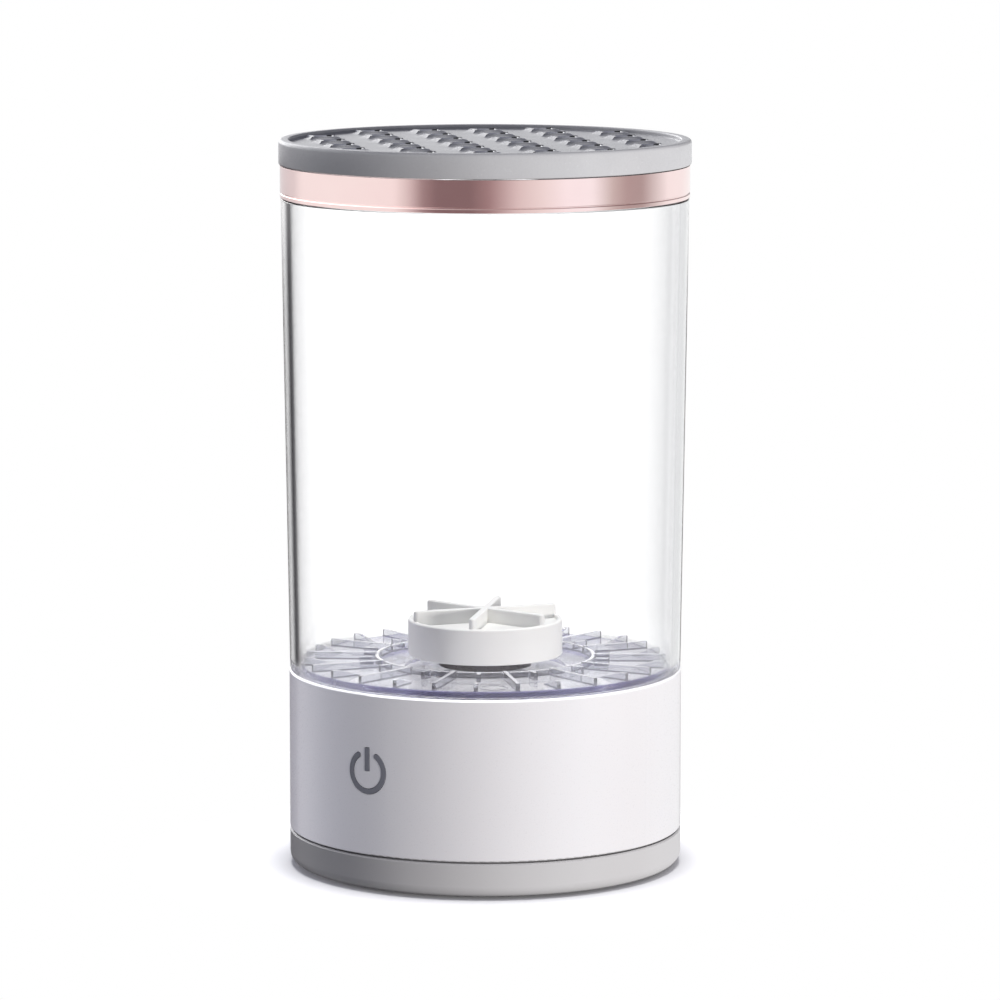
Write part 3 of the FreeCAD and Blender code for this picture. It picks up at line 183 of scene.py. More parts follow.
def united(base, tool):
    """One closed volume of two pieces; the tool is used up."""
    step = base.modifiers.new("unite", "BOOLEAN")
    step.operation = "UNION"
    step.solver = "EXACT"
    step.object = tool
    applied(base)
    bpy.data.objects.remove(tool)
    base.data.polygons.foreach_set("use_smooth", [True] * len(base.data.polygons))
    base.data.set_sharp_from_angle(angle=CREASE)
    return base


def place_piece(piece, body, slot, surface, *nodes):
    """Give a finished piece its body and its material, and hide the CAD nodes it stands for.
    The slot is only read to tell the lid: flat and turned faces are shaded evenly on every piece but the lid,
    which swells softly."""
    piece.data.materials.clear()
    piece.data.materials.append(surface)
    if slot != "grey_silicone":
        even = piece.modifiers.new("even_shading", "WEIGHTED_NORMAL")
        even.keep_sharp = True
    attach(piece, body)
    if nodes:
        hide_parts(*nodes)
    return piece


# ---------------------------------------------------------------- material helpers

def new_material(name):
    made = bpy.data.materials.new(name)
    made.use_nodes = True
    made.node_tree.nodes.clear()
    return made, made.node_tree


def add(tree, kind, settings=None, inputs=None):
    """A shader node with its settings and its inputs, which are values or other nodes' outputs."""
    node = tree.nodes.new("ShaderNode" + kind)
    for key, value in (settings or {}).items():
        setattr(node, key, value)
    for key, value in (inputs or {}).items():
        if isinstance(value, bpy.types.NodeSocket):
            tree.links.new(value, node.inputs[key])
        else:
            node.inputs[key].default_value = value
    return node


def own_space(tree):
    """The shaded spot in the object's own space."""
    return add(tree, "TexCoord").outputs["Object"]


def component(tree, vector, axis):
    return add(tree, "SeparateXYZ", {}, {0: vector}).outputs[axis]


def worked_out(tree, operation, *values):
    """The result of a Math node on numbers or other nodes' outputs."""
    return add(tree, "Math", {"operation": operation}, dict(enumerate(values))).outputs[0]


def level_part(tree, vector):
    """The vector without its height."""
    return add(tree, "VectorMath", {"operation": "MULTIPLY"}, {0: vector, 1: (1, 1, 0)}).outputs["Vector"]


def off_axis(tree):
    """How far the shaded spot stands from the object's upright axis."""
    flat = level_part(tree, own_space(tree))
    return add(tree, "VectorMath", {"operation": "LENGTH"}, {0: flat}).outputs["Value"]


def flatness(tree):
    """1 on faces that look straight up or down, 0 on upright ones."""
    normal = add(tree, "NewGeometry").outputs["Normal"]
    return worked_out(tree, "ABSOLUTE", component(tree, normal, "Z"))


def noise_of(tree, scale, detail=3.0, stretch=(1, 1, 1), roughness=0.5):
    """Noise in the object's own space, scale in features per metre."""
    shaped = add(tree, "Mapping", {}, {"Vector": own_space(tree), "Scale": stretch}).outputs["Vector"]
    made = add(tree, "TexNoise", {}, {"Vector": shaped, "Scale": scale, "Detail": detail,
                                      "Roughness": roughness})
    return made.outputs["Fac"]


def spread(tree, value, low, high, start=0.3, end=0.7):
    """Map a value between start and end onto low to high, and hold it there outside them."""
    made = add(tree, "MapRange", {"clamp": True}, {"Value": value, "From Min": start, "From Max": end,
                                                   "To Min": low, "To Max": high})
    return made.outputs["Result"]


def blend_tints(tree, share, first, second):
    """The first tint where share is 0, the second where it is 1; tints have four parts."""
    made = add(tree, "Mix", {"data_type": "RGBA"}, {0: share, 6: first, 7: second})
    return made.outputs[2]


def shade_between(tree, share, first, second):
    """The same for tints of three parts."""
    return blend_tints(tree, share, (*first, 1), (*second, 1))


def blend_surfaces(tree, share, first, second):
    return add(tree, "MixShader", {}, {0: share, 1: first, 2: second}).outputs[0]


def bump(tree, height, strength, distance, after=None):
    inputs = {"Height": height, "Strength": strength, "Distance": distance}
    if after is not None:
        inputs["Normal"] = after
    return add(tree, "Bump", {}, inputs).outputs["Normal"]


def output(tree, surface, volume=None):
    """End a material's tree."""
    inputs = {"Surface": surface}
    if volume is not None:
        inputs["Volume"] = volume
    add(tree, "OutputMaterial", {}, inputs)


def moulded_plastic(name, colour, shade, rough, grain=900.0, depth=0.012, coat=0.0, glow=0.0):
    """Injection-moulded plastic: faint flow tone, a fine grain in the finish and a little orange peel.
    Grain is in features per metre, depth is how strong it is, glow how far light goes into the surface."""
    made, tree = new_material(name)
    flow = noise_of(tree, 35.0, 2.0, (1, 1, 0.4))
    fine = noise_of(tree, grain * 4, 4.0)
    peel = noise_of(tree, grain, 2.0)
    first = bump(tree, peel, depth * 6, 0.02 * MM)
    normal = bump(tree, fine, depth * 12, 0.01 * MM, first)
    surface = add(tree, "BsdfPrincipled", {}, {
        "Base Color": shade_between(tree, spread(tree, flow, 0, 1), colour, shade),
        "Roughness": spread(tree, fine, rough[0], rough[1]),
        "Subsurface Weight": glow,
        "Subsurface Radius": (0.0012, 0.0010, 0.0009),
        "Coat Weight": coat,
        "Coat Roughness": 0.14,
        "IOR": 1.49,
        "Normal": normal,
    })
    output(tree, surface.outputs["BSDF"])
    return made


def worked_metal(name, colour, shade, rough, stretch=(1, 1, 1), scale=2500.0, depth=0.1):
    """Metal with fine tool marks along one direction and slight tone changes."""
    made, tree = new_material(name)
    marks = noise_of(tree, scale, 5.0, stretch, 0.65)
    tone = noise_of(tree, 120.0, 3.0)
    surface = add(tree, "BsdfPrincipled", {}, {
        "Base Color": shade_between(tree, spread(tree, tone, 0, 1), colour, shade),
        "Metallic": 1.0,
        "Roughness": spread(tree, marks, rough[0], rough[1]),
        "Normal": bump(tree, marks, depth, 0.01 * MM),
    })
    output(tree, surface.outputs["BSDF"])
    return made


PASSED_TINT = (0.96, 0.96, 0.97, 1)    # of light that lamps send through clear plastic
RUB_ROUGHNESS = 0.012
CLEAR_SHARE = 0.5                      # of the light that passes straight on, low in clear pieces
CLEAR_FADE = 0.5 * MM                  # height over which that share changes, to either side
SIDE_PAINTED_SHADE = (0.74, 0.745, 0.78)        # painted shade on the scrub disc's upright faces
ROOT_PAINTED_SHADOW = (0.16, 0.16, 0.21)         # a painted shadow line at the foot of its ribs
ROOT_SHADOW_RISE = 0.16 * MM                  # how high that line stands above the plate
ROOT_SHADOW_FADE = 0.1 * MM
RIM_PAINTED_SHADE = (0.18, 0.165, 0.44)         # painted dark shade on its thick edge, standing in for how thick plastic looks from the side
RIM_FADE = 0.3 * MM


def light_through(tree, surface):
    """Let lamps and soft light pass a clear surface, so that what stands behind it isn't in false shadow."""
    path = add(tree, "LightPath")
    passing = worked_out(tree, "MAXIMUM", path.outputs["Is Shadow Ray"], path.outputs["Is Diffuse Ray"])
    clear = add(tree, "BsdfTransparent", {}, {"Color": PASSED_TINT})
    return blend_surfaces(tree, passing, surface, clear.outputs[0])


def disc_painted_shade(tree, height, plate, rim):
    """The painted shade of the scrub disc's faces, and a mask of its thick edge beyond the radius rim.
    Upright faces get a little painted shade and their roots on the plate a dark painted shadow line, which
    draws the ribs; the edge gets a dark painted shade."""
    upright = spread(tree, flatness(tree), 1.0, 0.0)
    # painted shade on the upright faces
    shade = shade_between(tree, upright, (1, 1, 1), SIDE_PAINTED_SHADE)
    above = spread(tree, height, 0.0, 1.0, plate - ROOT_SHADOW_FADE, plate)
    below = spread(tree, height, 1.0, 0.0, plate + ROOT_SHADOW_RISE, plate + ROOT_SHADOW_RISE + ROOT_SHADOW_FADE)
    root = worked_out(tree, "MULTIPLY", worked_out(tree, "MULTIPLY", above, below), upright)
    # a dark painted shadow line where the ribs meet the plate
    shade = blend_tints(tree, root, shade, (*ROOT_PAINTED_SHADOW, 1))
    edge = spread(tree, off_axis(tree), 0, 1, rim, rim + RIM_FADE)
    # a dark painted shade on the thick edge
    return blend_tints(tree, edge, shade, (*RIM_PAINTED_SHADE, 1)), edge


def clear_plastic(name, tint, density, clear_below, rim=None):
    """Polished clear plastic: slight waves from moulding, a few rub marks, and tint that grows with depth.
    Below the height clear_below, part of the light passes straight on, so that stacked plates stay bright.
    With a radius rim the faces carry the scrub disc's painted shade, and its edge stays solid."""
    made, tree = new_material(name)
    ripple = noise_of(tree, 45.0, 1.0, (1, 1, 0.35))
    rubs = noise_of(tree, 1400.0, 6.0, (1, 1, 0.08), 0.7)
    height = component(tree, own_space(tree), "Z")
    shade, edge = (1, 1, 1, 1), 0.0
    if rim is not None:
        shade, edge = disc_painted_shade(tree, height, clear_below, rim)
    surface = add(tree, "BsdfPrincipled", {}, {
        "Base Color": shade,
        "Roughness": spread(tree, rubs, 0.0, RUB_ROUGHNESS, 0.60, 0.80),
        "IOR": 1.49,
        "Transmission Weight": 1.0,
        "Normal": bump(tree, ripple, 0.015, 0.4 * MM),
    })
    share = spread(tree, height, CLEAR_SHARE, 0.0, clear_below - CLEAR_FADE, clear_below + CLEAR_FADE)
    share = worked_out(tree, "MULTIPLY", share, worked_out(tree, "SUBTRACT", 1.0, edge))
    clear = add(tree, "BsdfTransparent")
    shown = blend_surfaces(tree, share, surface.outputs["BSDF"], clear.outputs[0])
    body = add(tree, "VolumeAbsorption", {}, {"Color": (*tint, 1), "Density": density})
    output(tree, light_through(tree, shown), body.outputs["Volume"])
    return made


PAINTED_LIGHT_SIDE = 40.0                        # degrees to the left of the camera's side, where the painted light on the lid's opening walls comes from
DUST_TINT = (0.75, 0.75, 0.76, 1)
WALL_PAINTED_SHADE = (0.025, 0.025, 0.027)      # painted shade and painted highlight on the cut walls of the lid's openings
WALL_PAINTED_HIGHLIGHT = (0.92, 0.92, 0.93)


def painted_wall_masks(tree, within):
    """How far a spot belongs to the upright walls of openings within a radius, and how far it faces left: the
    masks of the walls' painted shade and painted highlight.
    """
    inside = spread(tree, off_axis(tree), 1.0, 0.0, within - 0.1 * MM, within)
    wall = worked_out(tree, "MULTIPLY", spread(tree, flatness(tree), 1.0, 0.0, 0.4, 0.7), inside)
    turn = math.radians(CAMERA_AZIMUTH - PAINTED_LIGHT_SIDE)
    facing = add(tree, "NewGeometry").outputs["Normal"]
    left = add(tree, "VectorMath", {"operation": "DOT_PRODUCT"},
               {0: facing, 1: (math.sin(turn), -math.cos(turn), 0)}).outputs["Value"]
    return wall, left


def silicone(name, colour, shade, within):
    """Soft silicone: a milky surface, fine grain, and specks of dust that it always holds.
    The cut walls of its openings, within a radius, carry painted shade, and a painted highlight on the side
    that faces the studio's light."""
    made, tree = new_material(name)
    cloud = noise_of(tree, 60.0, 3.0)
    grain = noise_of(tree, 5200.0, 3.0)
    dust = add(tree, "TexVoronoi", {"feature": "F1"}, {"Scale": 900.0, "Vector": own_space(tree)})
    speck = spread(tree, dust.outputs["Distance"], 0.35, 0.0, 0.04, 0.10)
    tone = shade_between(tree, spread(tree, cloud, 0, 1), colour, shade)
    dusted = blend_tints(tree, speck, tone, DUST_TINT)
    wall, left = painted_wall_masks(tree, within)
    # painted shade on the openings' cut walls, with a painted highlight where they face the light side
    cut = shade_between(tree, spread(tree, left, 0, 1, 0.36, 0.42), WALL_PAINTED_SHADE, WALL_PAINTED_HIGHLIGHT)
    surface = add(tree, "BsdfPrincipled", {}, {
        "Base Color": blend_tints(tree, wall, dusted, cut),
        "Roughness": spread(tree, grain, 0.24, 0.34),
        "Subsurface Weight": 0.06,
        "Subsurface Radius": (0.0022, 0.0021, 0.0020),
        "Sheen Weight": 0.04,
        "Sheen Roughness": 0.4,
        "IOR": 1.42,
        "Normal": bump(tree, grain, 0.10, 0.02 * MM),
    })
    output(tree, surface.outputs["BSDF"])
    return made


def mirror_metal(name, colour, shade):
    """Polished metal band: mirror finish with hairline rub marks round it."""
    made, tree = new_material(name)
    hair = noise_of(tree, 700.0, 5.0, (0.3, 0.3, 14), 0.7)
    tone = noise_of(tree, 90.0, 2.0)
    surface = add(tree, "BsdfPrincipled", {}, {
        "Base Color": shade_between(tree, spread(tree, tone, 0, 1), colour, shade),
        "Metallic": 1.0,
        "Roughness": spread(tree, hair, 0.07, 0.15),
        "Normal": bump(tree, hair, 0.02, 0.02 * MM),
    })
    output(tree, surface.outputs["BSDF"])
    return made


def circuit_board(name):
    """Solder mask with copper runs showing through."""
    made, tree = new_material(name)
    runs = add(tree, "TexBrick", {"offset": 0.35}, {
        "Vector": own_space(tree),
        "Scale": 420.0,
        "Mortar Size": 0.03,
        "Color1": (0.02, 0.16, 0.07, 1),
        "Color2": (0.015, 0.12, 0.055, 1),
        "Mortar": (0.05, 0.26, 0.12, 1),
    })
    surface = add(tree, "BsdfPrincipled", {}, {
        "Base Color": runs.outputs["Color"],
        "Roughness": 0.3,
        "Normal": bump(tree, runs.outputs["Fac"], 0.2, 0.03 * MM),
    })
    output(tree, surface.outputs["BSDF"])
    return made


# ---------------------------------------------------------------- shown pieces

def make_cup():
    """Clear cup: tapered wall, floor with a spindle boss, nesting foot and the thin upstand in the ring."""
    floor, top = levels("clear_cup")
    band_low = levels("trim_ring")[0]
    pin_low = levels("spindle_pin")[0]
    shoulder = levels("base_housing")[1] + 0.1 * MM
    nest = outer_radius("base_housing") - 1.35 * MM
    low = outer_radius("base_housing") - 0.15 * MM
    wide = outer_radius("clear_cup")
    upstand = outer_radius("trim_ring") - 1.1 * MM
    pin = outer_radius("spindle_pin")
    wall = 2.0 * MM
    deck = floor + 2 * MM
    boss, boss_top = 4 * MM, floor + 2.5 * MM
    return lathe("cup_clear", [
        (0, floor, 0),
        (nest, floor, 0.4 * MM),
        (nest, shoulder, 0.2 * MM),
        (low, shoulder, 0.35 * MM),
        (wide, band_low - 0.2 * MM, 0.3 * MM),
        (upstand, band_low - 0.2 * MM, 0.1 * MM),
        (upstand, top, 0.25 * MM),
        (upstand - 1.05 * MM, top, 0.25 * MM),
        (wide - wall, band_low, 0),
        (low - wall, deck, 1.0 * MM),
        (boss, deck, 0.3 * MM),
        (boss, boss_top, 0.2 * MM),
        (pin, boss_top, 0.1 * MM),
        (pin, pin_low, 0),
        (0, pin_low, 0),
    ], closed=False)


def make_band():
    """Trim ring: a mirror band with a fine groove above its lower lip."""
    low, top = levels("trim_ring")
    outer = outer_radius("trim_ring")
    inner = outer - 1.0 * MM
    lip = low + 0.9 * MM
    groove = 0.25 * MM
    return lathe("rim_band", [
        (inner, low, 0.1 * MM),
        (outer, low, 0.1 * MM),
        (outer, lip, 0.12 * MM),
        (outer - groove, lip, 0.05 * MM),
        (outer - groove, lip + groove, 0.05 * MM),
        (outer, lip + groove, 0.12 * MM),
        (outer, top, 0.02 * MM),
        (inner, top, 0.1 * MM),
    ])


STAR_TIP = 2.97 * MM                # from an opening's middle to its points, and to its waists
STAR_WAIST = 2.05 * MM
STAR_PITCH = 13.0 * MM
STAR_TURN = math.radians(47)        # of the lattice and of each star
STAR_ROWS = 6
CORNER_REACH = 5                    # pitches, counted along both axes, that only the corners reach
ARC_STEPS = 10
SWELL_STEPS = 10
SWELL_CURVE = 1.7                   # above one, so that the swelling is steepest at the opening
LID_CREASE = math.radians(50)


def star_spots():
    """Centres of the openings: a square lattice of six by six without its corners."""
    spots = []
    middle = (STAR_ROWS - 1) / 2
    for column in range(STAR_ROWS):
        for row in range(STAR_ROWS):
            x, y = column - middle, row - middle
            if abs(x) + abs(y) < CORNER_REACH:
                spots.append(Matrix.Rotation(STAR_TURN, 2) @ Vector((x * STAR_PITCH, y * STAR_PITCH)))
    return spots


def star_profile():
    """One star's outline about its middle, four inward arcs, as vectors."""
    sag = STAR_TIP - STAR_WAIST
    radius = (STAR_TIP ** 2 + sag ** 2) / (2 * sag)
    half = math.asin(STAR_TIP / radius)
    outline = []
    for quarter in range(4):
        facing = STAR_TURN + quarter * math.pi / 2
        centre = Vector((math.cos(facing), math.sin(facing))) * (STAR_WAIST + radius)
        for step in range(ARC_STEPS):
            angle = facing + math.pi + half - 2 * half * step / ARC_STEPS
            outline.append(centre + Vector((math.cos(angle), math.sin(angle))) * radius)
    return outline


def dimple_reach(middle, direction, radius, limit):
    """How far a dimple about middle reaches that way without passing the limit circle."""
    along = middle.dot(direction)
    return min(radius, math.sqrt(along ** 2 + limit ** 2 - middle.length_squared) - along)


def dimple_loop(bm, outline, middle, height, share, radius, limit):
    """The star's outline moved a share of the way out to its dimple's edge."""
    loop = []
    for point in outline:
        direction = point.normalized()
        spot = middle + point.lerp(direction * dimple_reach(middle, direction, radius, limit), share)
        loop.append(bm.verts.new((spot.x, spot.y, height)))
    return loop


def sheet_between(bm, border, holes):
    """Flat faces inside the border loop and outside the round hole loops."""
    chains = [border] + holes
    verts = [vert for chain in chains for vert in chain]
    owner = [number for number, chain in enumerate(chains) for _ in chain]
    pairs, first = [], 0
    for chain in chains:
        pairs += [(first + k, first + (k + 1) % len(chain)) for k in range(len(chain))]
        first += len(chain)
    result = delaunay_2d_cdt([vert.co.xy for vert in verts], pairs, [], 0, SAME_POINT)
    faces, sources = result[2], result[3]
    for face in faces:
        spots = [sources[k][0] for k in face]
        owners = {owner[k] for k in spots}
        if len(owners) > 1 or 0 in owners:
            bm.faces.new([verts[k] for k in spots])


def make_lid():
    """Silicone lid: a rim and skirt, and a soft sheet that swells up to each star opening."""
    skirt_low, top = levels("silicone_lid")
    outer = outer_radius("silicone_lid")
    sheet = top - 1.0 * MM
    under = sheet - 1.7 * MM
    inner = outer - 2.3 * MM
    skirt = outer - 1.25 * MM
    swell, edge = 5.6 * MM, inner - 0.45 * MM
    relief, under_edge = 4.8 * MM, skirt - 0.6 * MM
    rise = 0.62 * MM
    outline = star_profile()
    # down the opening's wall: share of the way from the star's outline out to the swelling's edge, height
    wall = ((-0.015, sheet + rise - 0.01 * MM), (-0.025, sheet + rise - 0.06 * MM),
            (-0.10, under + 0.15 * MM))
    bm = bmesh.new()
    top_loops, under_loops = [], []
    for middle in star_spots():
        stack = []
        for step in range(SWELL_STEPS + 1):
            share = 1 - step / SWELL_STEPS
            height = sheet + rise * (1 - share) ** SWELL_CURVE
            stack.append(dimple_loop(bm, outline, middle, height, share, swell, edge))
        for share, height in wall:
            stack.append(dimple_loop(bm, outline, middle, height, share, swell, edge))
        for share in (0.0, 1.0):
            stack.append(dimple_loop(bm, outline, middle, under, share, relief, under_edge))
        for upper, lower in zip(stack, stack[1:]):
            bridge(bm, upper, lower)
        top_loops.append(stack[0])
        under_loops.append(stack[-1])
    rim = rounded([
        (inner - 0.35 * MM, sheet, 0),
        (inner, sheet, 0.2 * MM),
        (inner, top, 0.35 * MM),
        (outer, top, 0.8 * MM),
        (outer, skirt_low, 0.3 * MM),
        (skirt, skirt_low, 0.2 * MM),
        (skirt, under, 0.2 * MM),
        (skirt - 0.5 * MM, under, 0),
    ], closed=False)
    loops = [ring(bm, point.x, point.y) for point in rim]
    for lower, upper in zip(loops, loops[1:]):
        bridge(bm, lower, upper)
    sheet_between(bm, loops[0], top_loops)
    sheet_between(bm, loops[-1], under_loops)
    return finish_mesh(bm, "lid_silicone", LID_CREASE)


PLATE_HEIGHT = 1.9 * MM
RIB_COUNT = 14
RIB_PHASE = math.radians(7.39)
RIB_THICKNESS = 0.9 * MM
MARK_TURN = math.radians(-51)       # the small ring on the plate
MARK_RADIUS = 35.4 * MM


def make_disc():
    """Clear scrub disc: plate, raised ring, long ribs, and short nubs and ramps between them."""
    low, crest = levels("scrub_disc")
    radius = outer_radius("scrub_disc")
    plate = low + PLATE_HEIGHT
    under = plate - 1 * MM
    bore = radius - 22.8 * MM
    wall = radius - 16.0 * MM
    wall_top = plate + 1.4 * MM
    disc = lathe("scrub_plate", [
        (bore, low, 0.2 * MM),
        (radius - 0.5 * MM, low, 0.1 * MM),
        (radius, low + 0.5 * MM, 0.1 * MM),
        (radius, plate, 0.35 * MM),
        (wall, plate, 0.2 * MM),
        (wall, wall_top, 0.25 * MM),
        (wall - 1 * MM, wall_top, 0.25 * MM),
        (wall - 1 * MM, under, 0.2 * MM),
        (bore, under, 0.25 * MM),
    ], steps=3)
    reach = radius - 0.5 * MM
    root = plate - 0.3 * MM
    nub_in, nub_out = wall + 0.6 * MM, wall + 3.6 * MM
    long_rib = [(wall - 0.5 * MM, root), (reach, root), (reach, crest), (wall - 0.5 * MM, crest)]
    nub = [(nub_in, root), (nub_out, root), (nub_out, crest), (nub_in, crest)]
    ramp = [(wall + 8.2 * MM, root), (reach, root), (reach, crest), (reach - 1.6 * MM, crest),
            (wall + 8.4 * MM, plate)]
    ribs = []
    for k in range(RIB_COUNT):
        turn = RIB_PHASE + 2 * math.pi * k / RIB_COUNT
        long_place = Matrix.Rotation(turn, 4, "Z")
        short_place = Matrix.Rotation(turn + math.pi / RIB_COUNT, 4, "Z")
        ribs.append(prism("long", long_rib, RIB_THICKNESS, long_place))
        ribs.append(prism("nub", nub, RIB_THICKNESS, short_place))
        ribs.append(prism("ramp", ramp, RIB_THICKNESS, short_place))
    mark = lathe("mark", [
        (2.6 * MM, root, 0),
        (3.0 * MM, root, 0),
        (3.0 * MM, plate + 0.12 * MM, 0.08 * MM),
        (2.6 * MM, plate + 0.12 * MM, 0.08 * MM),
    ], turns=48)
    mark.data.transform(Matrix.Translation(Matrix.Rotation(MARK_TURN, 3, "Z") @ Vector((MARK_RADIUS, 0, 0))))
    return united(united(disc, mark), merged("ribs", ribs))


VANE_DEGREES = (56, 116, 176)
VANE_REACH = 16.6 * MM
VANE_HALF = 0.8 * MM                # half of a vane's thickness
VANE_END_STEPS = 8


def vane_wall(place, floor, crest):
    """One wall across the impeller, two of its vanes, with round ends and a softened top."""
    bm = bmesh.new()
    outline = []
    for side in (0, 1):
        middle = (VANE_REACH - VANE_HALF) * (1 if side == 0 else -1)
        for step in range(VANE_END_STEPS + 1):
            angle = -math.pi / 2 + math.pi * step / VANE_END_STEPS + side * math.pi
            outline.append(Vector((middle + VANE_HALF * math.cos(angle), VANE_HALF * math.sin(angle))))
    stack = []
    sections = ((0, floor - 0.3 * MM), (0, crest - 0.4 * MM),
                (0.12 * MM, crest - 0.12 * MM), (0.4 * MM, crest))    # (inset, height)
    for inset, height in sections:
        shrunk = [Vector((p.x - math.copysign(inset, p.x), p.y * (VANE_HALF - inset) / VANE_HALF))
                  for p in outline]
        stack.append([bm.verts.new((p.x, p.y, height)) for p in shrunk])
    for lower, upper in zip(stack, stack[1:]):
        bridge(bm, lower, upper)
    bm.faces.new(stack[0])
    bm.faces.new(stack[-1])
    bmesh.ops.transform(bm, matrix=place, verts=bm.verts)
    return finish_mesh(bm, "vane")


def make_impeller_top():
    """Matte white impeller: a drum with a thin lip and three crossing walls, six vanes in all."""
    low, crest = levels("impeller_cap")
    radius = outer_radius("magnet_carrier") + 6.8 * MM
    rim = low + 8.0 * MM
    floor = rim - 0.9 * MM
    under = floor - 1.5 * MM
    hub, hub_bore, hub_low = 6.6 * MM, 5.03 * MM, low + 0.7 * MM
    drum = lathe("impeller_top", [
        (0, floor, 0),
        (radius - 1.1 * MM, floor, 0.3 * MM),
        (radius - 1.1 * MM, rim, 0.25 * MM),
        (radius, rim, 0.45 * MM),
        (radius, low, 0.5 * MM),
        (radius - 1.4 * MM, low, 0.2 * MM),
        (radius - 1.4 * MM, under, 0.3 * MM),
        (hub, under, 0.3 * MM),
        (hub, hub_low, 0.2 * MM),
        (hub_bore, hub_low, 0.2 * MM),
        (hub_bore, under, 0),
        (0, under, 0),
    ], closed=False)
    walls = [vane_wall(Matrix.Rotation(math.radians(degrees), 4, "Z"), floor, crest)
             for degrees in VANE_DEGREES]
    vanes = walls[0]
    for wall in walls[1:]:
        vanes = united(vanes, wall)
    return united(drum, vanes)


GROOVE_PITCH = 3.0 * MM


def make_pad():
    """Anti-slip pad with concentric grip grooves underneath."""
    low, top = levels("anti_slip_pad")
    radius = outer_radius("anti_slip_pad")
    corners = [(0, top, 0), (radius, top, 0.1 * MM), (radius, low, 0.3 * MM)]
    bottom = low + 0.35 * MM
    groove = radius - 2.5 * MM
    while groove > 6 * MM:
        corners += [(groove, low, 0.1 * MM), (groove - 0.2 * MM, bottom, 0.1 * MM),
                    (groove - 0.8 * MM, bottom, 0.1 * MM), (groove - 1.0 * MM, low, 0.1 * MM)]
        groove -= GROOVE_PITCH
    corners.append((0, low, 0))
    return lathe("grip_pad", corners, closed=False, turns=160, steps=2)


KEY_RING = 4.25 * MM                # middle of the symbol's ring, and half of its line's width
KEY_HALF = 0.55 * MM
KEY_OPENING = math.radians(34)      # the ring is open this far to either side of its top
KEY_BAR = (0.2 * MM, 5.3 * MM)      # where the bar begins and ends above the ring's middle
KEY_PLATE = 0.7 * MM
KEY_STEPS = 96                      # along the ring, and round each of its ends
KEY_END_STEPS = 8


def key_stem(name, sections, face_radius, back):
    """A stem of the key along a row of sections, its front following the housing's round."""
    bm = bmesh.new()
    rows = []
    for section in sections:
        fronts = [bm.verts.new((x, -math.sqrt(face_radius ** 2 - x ** 2), z)) for x, z in section]
        backs = [bm.verts.new((x, back, z)) for x, z in section]
        rows.append([fronts[0], fronts[1], backs[1], backs[0]])
    for row, after in zip(rows, rows[1:]):
        bridge(bm, row, after)
    bm.faces.new(rows[0])
    bm.faces.new(rows[-1])
    return finish_mesh(bm, name)


def make_key():
    """Power key: the symbol's open ring and bar on one plate behind the shell."""
    low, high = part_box("power_key")
    face_radius = -low.y
    plate = high.y - KEY_PLATE
    back = plate + 0.1 * MM
    middle = (low.z + high.z) / 2
    start, end = math.pi / 2 + KEY_OPENING, 5 * math.pi / 2 - KEY_OPENING
    spots = [(start + (end - start) * k / KEY_STEPS, KEY_HALF) for k in range(KEY_STEPS + 1)]
    for k in range(1, KEY_END_STEPS + 1):
        # 0.2 of a step more, so that the round ends stop just short of a point
        beyond = KEY_HALF * math.sin(math.pi / 2 * k / (KEY_END_STEPS + 0.2))
        width = math.sqrt(KEY_HALF ** 2 - beyond ** 2)
        spots.insert(0, (start - beyond / KEY_RING, width))
        spots.append((end + beyond / KEY_RING, width))
    ring_sections = [[(reach * math.cos(angle), middle + reach * math.sin(angle))
                      for reach in (KEY_RING - width, KEY_RING + width)] for angle, width in spots]
    bar_sections = [[(side * KEY_HALF, middle + height) for side in (-1, 1)] for height in KEY_BAR]
    board = prism("plate", [(low.x, low.z), (high.x, low.z), (high.x, high.z), (low.x, high.z)], KEY_PLATE,
                  Matrix.Translation((0, plate + KEY_PLATE / 2, 0)), 0)
    return merged("key_symbol", [board, key_stem("ring", ring_sections, face_radius, back),
                                 key_stem("bar", bar_sections, face_radius, back)])


# ---------------------------------------------------------------- materials

WHITE = moulded_plastic("white_moulding", (0.84, 0.835, 0.85), (0.80, 0.795, 0.815), (0.26, 0.34),
                        coat=0.25, glow=0.04)
KEY = moulded_plastic("key_moulding", (0.225, 0.23, 0.262), (0.195, 0.20, 0.23), (0.55, 0.65))
PAD = moulded_plastic("pad_rubber", (0.035, 0.035, 0.037), (0.022, 0.022, 0.024), (0.6, 0.75),
                      grain=1800.0, depth=0.03)
CLEAR = clear_plastic("cup_clear_plastic", (0.58, 0.59, 0.61), 50.0,
                      clear_below=levels("base_housing")[1] + 2 * MM)
# with painted shade on the disc's upright faces, rib roots and thick edge
DISC = clear_plastic("disc_clear_plastic", (0.80, 0.80, 0.93), 22.0,
                     clear_below=levels("scrub_disc")[0] + PLATE_HEIGHT,
                     rim=outer_radius("scrub_disc") - 0.5 * MM)
ROSE = mirror_metal("rose_gold_mirror", (0.95, 0.755, 0.725), (0.93, 0.725, 0.70))
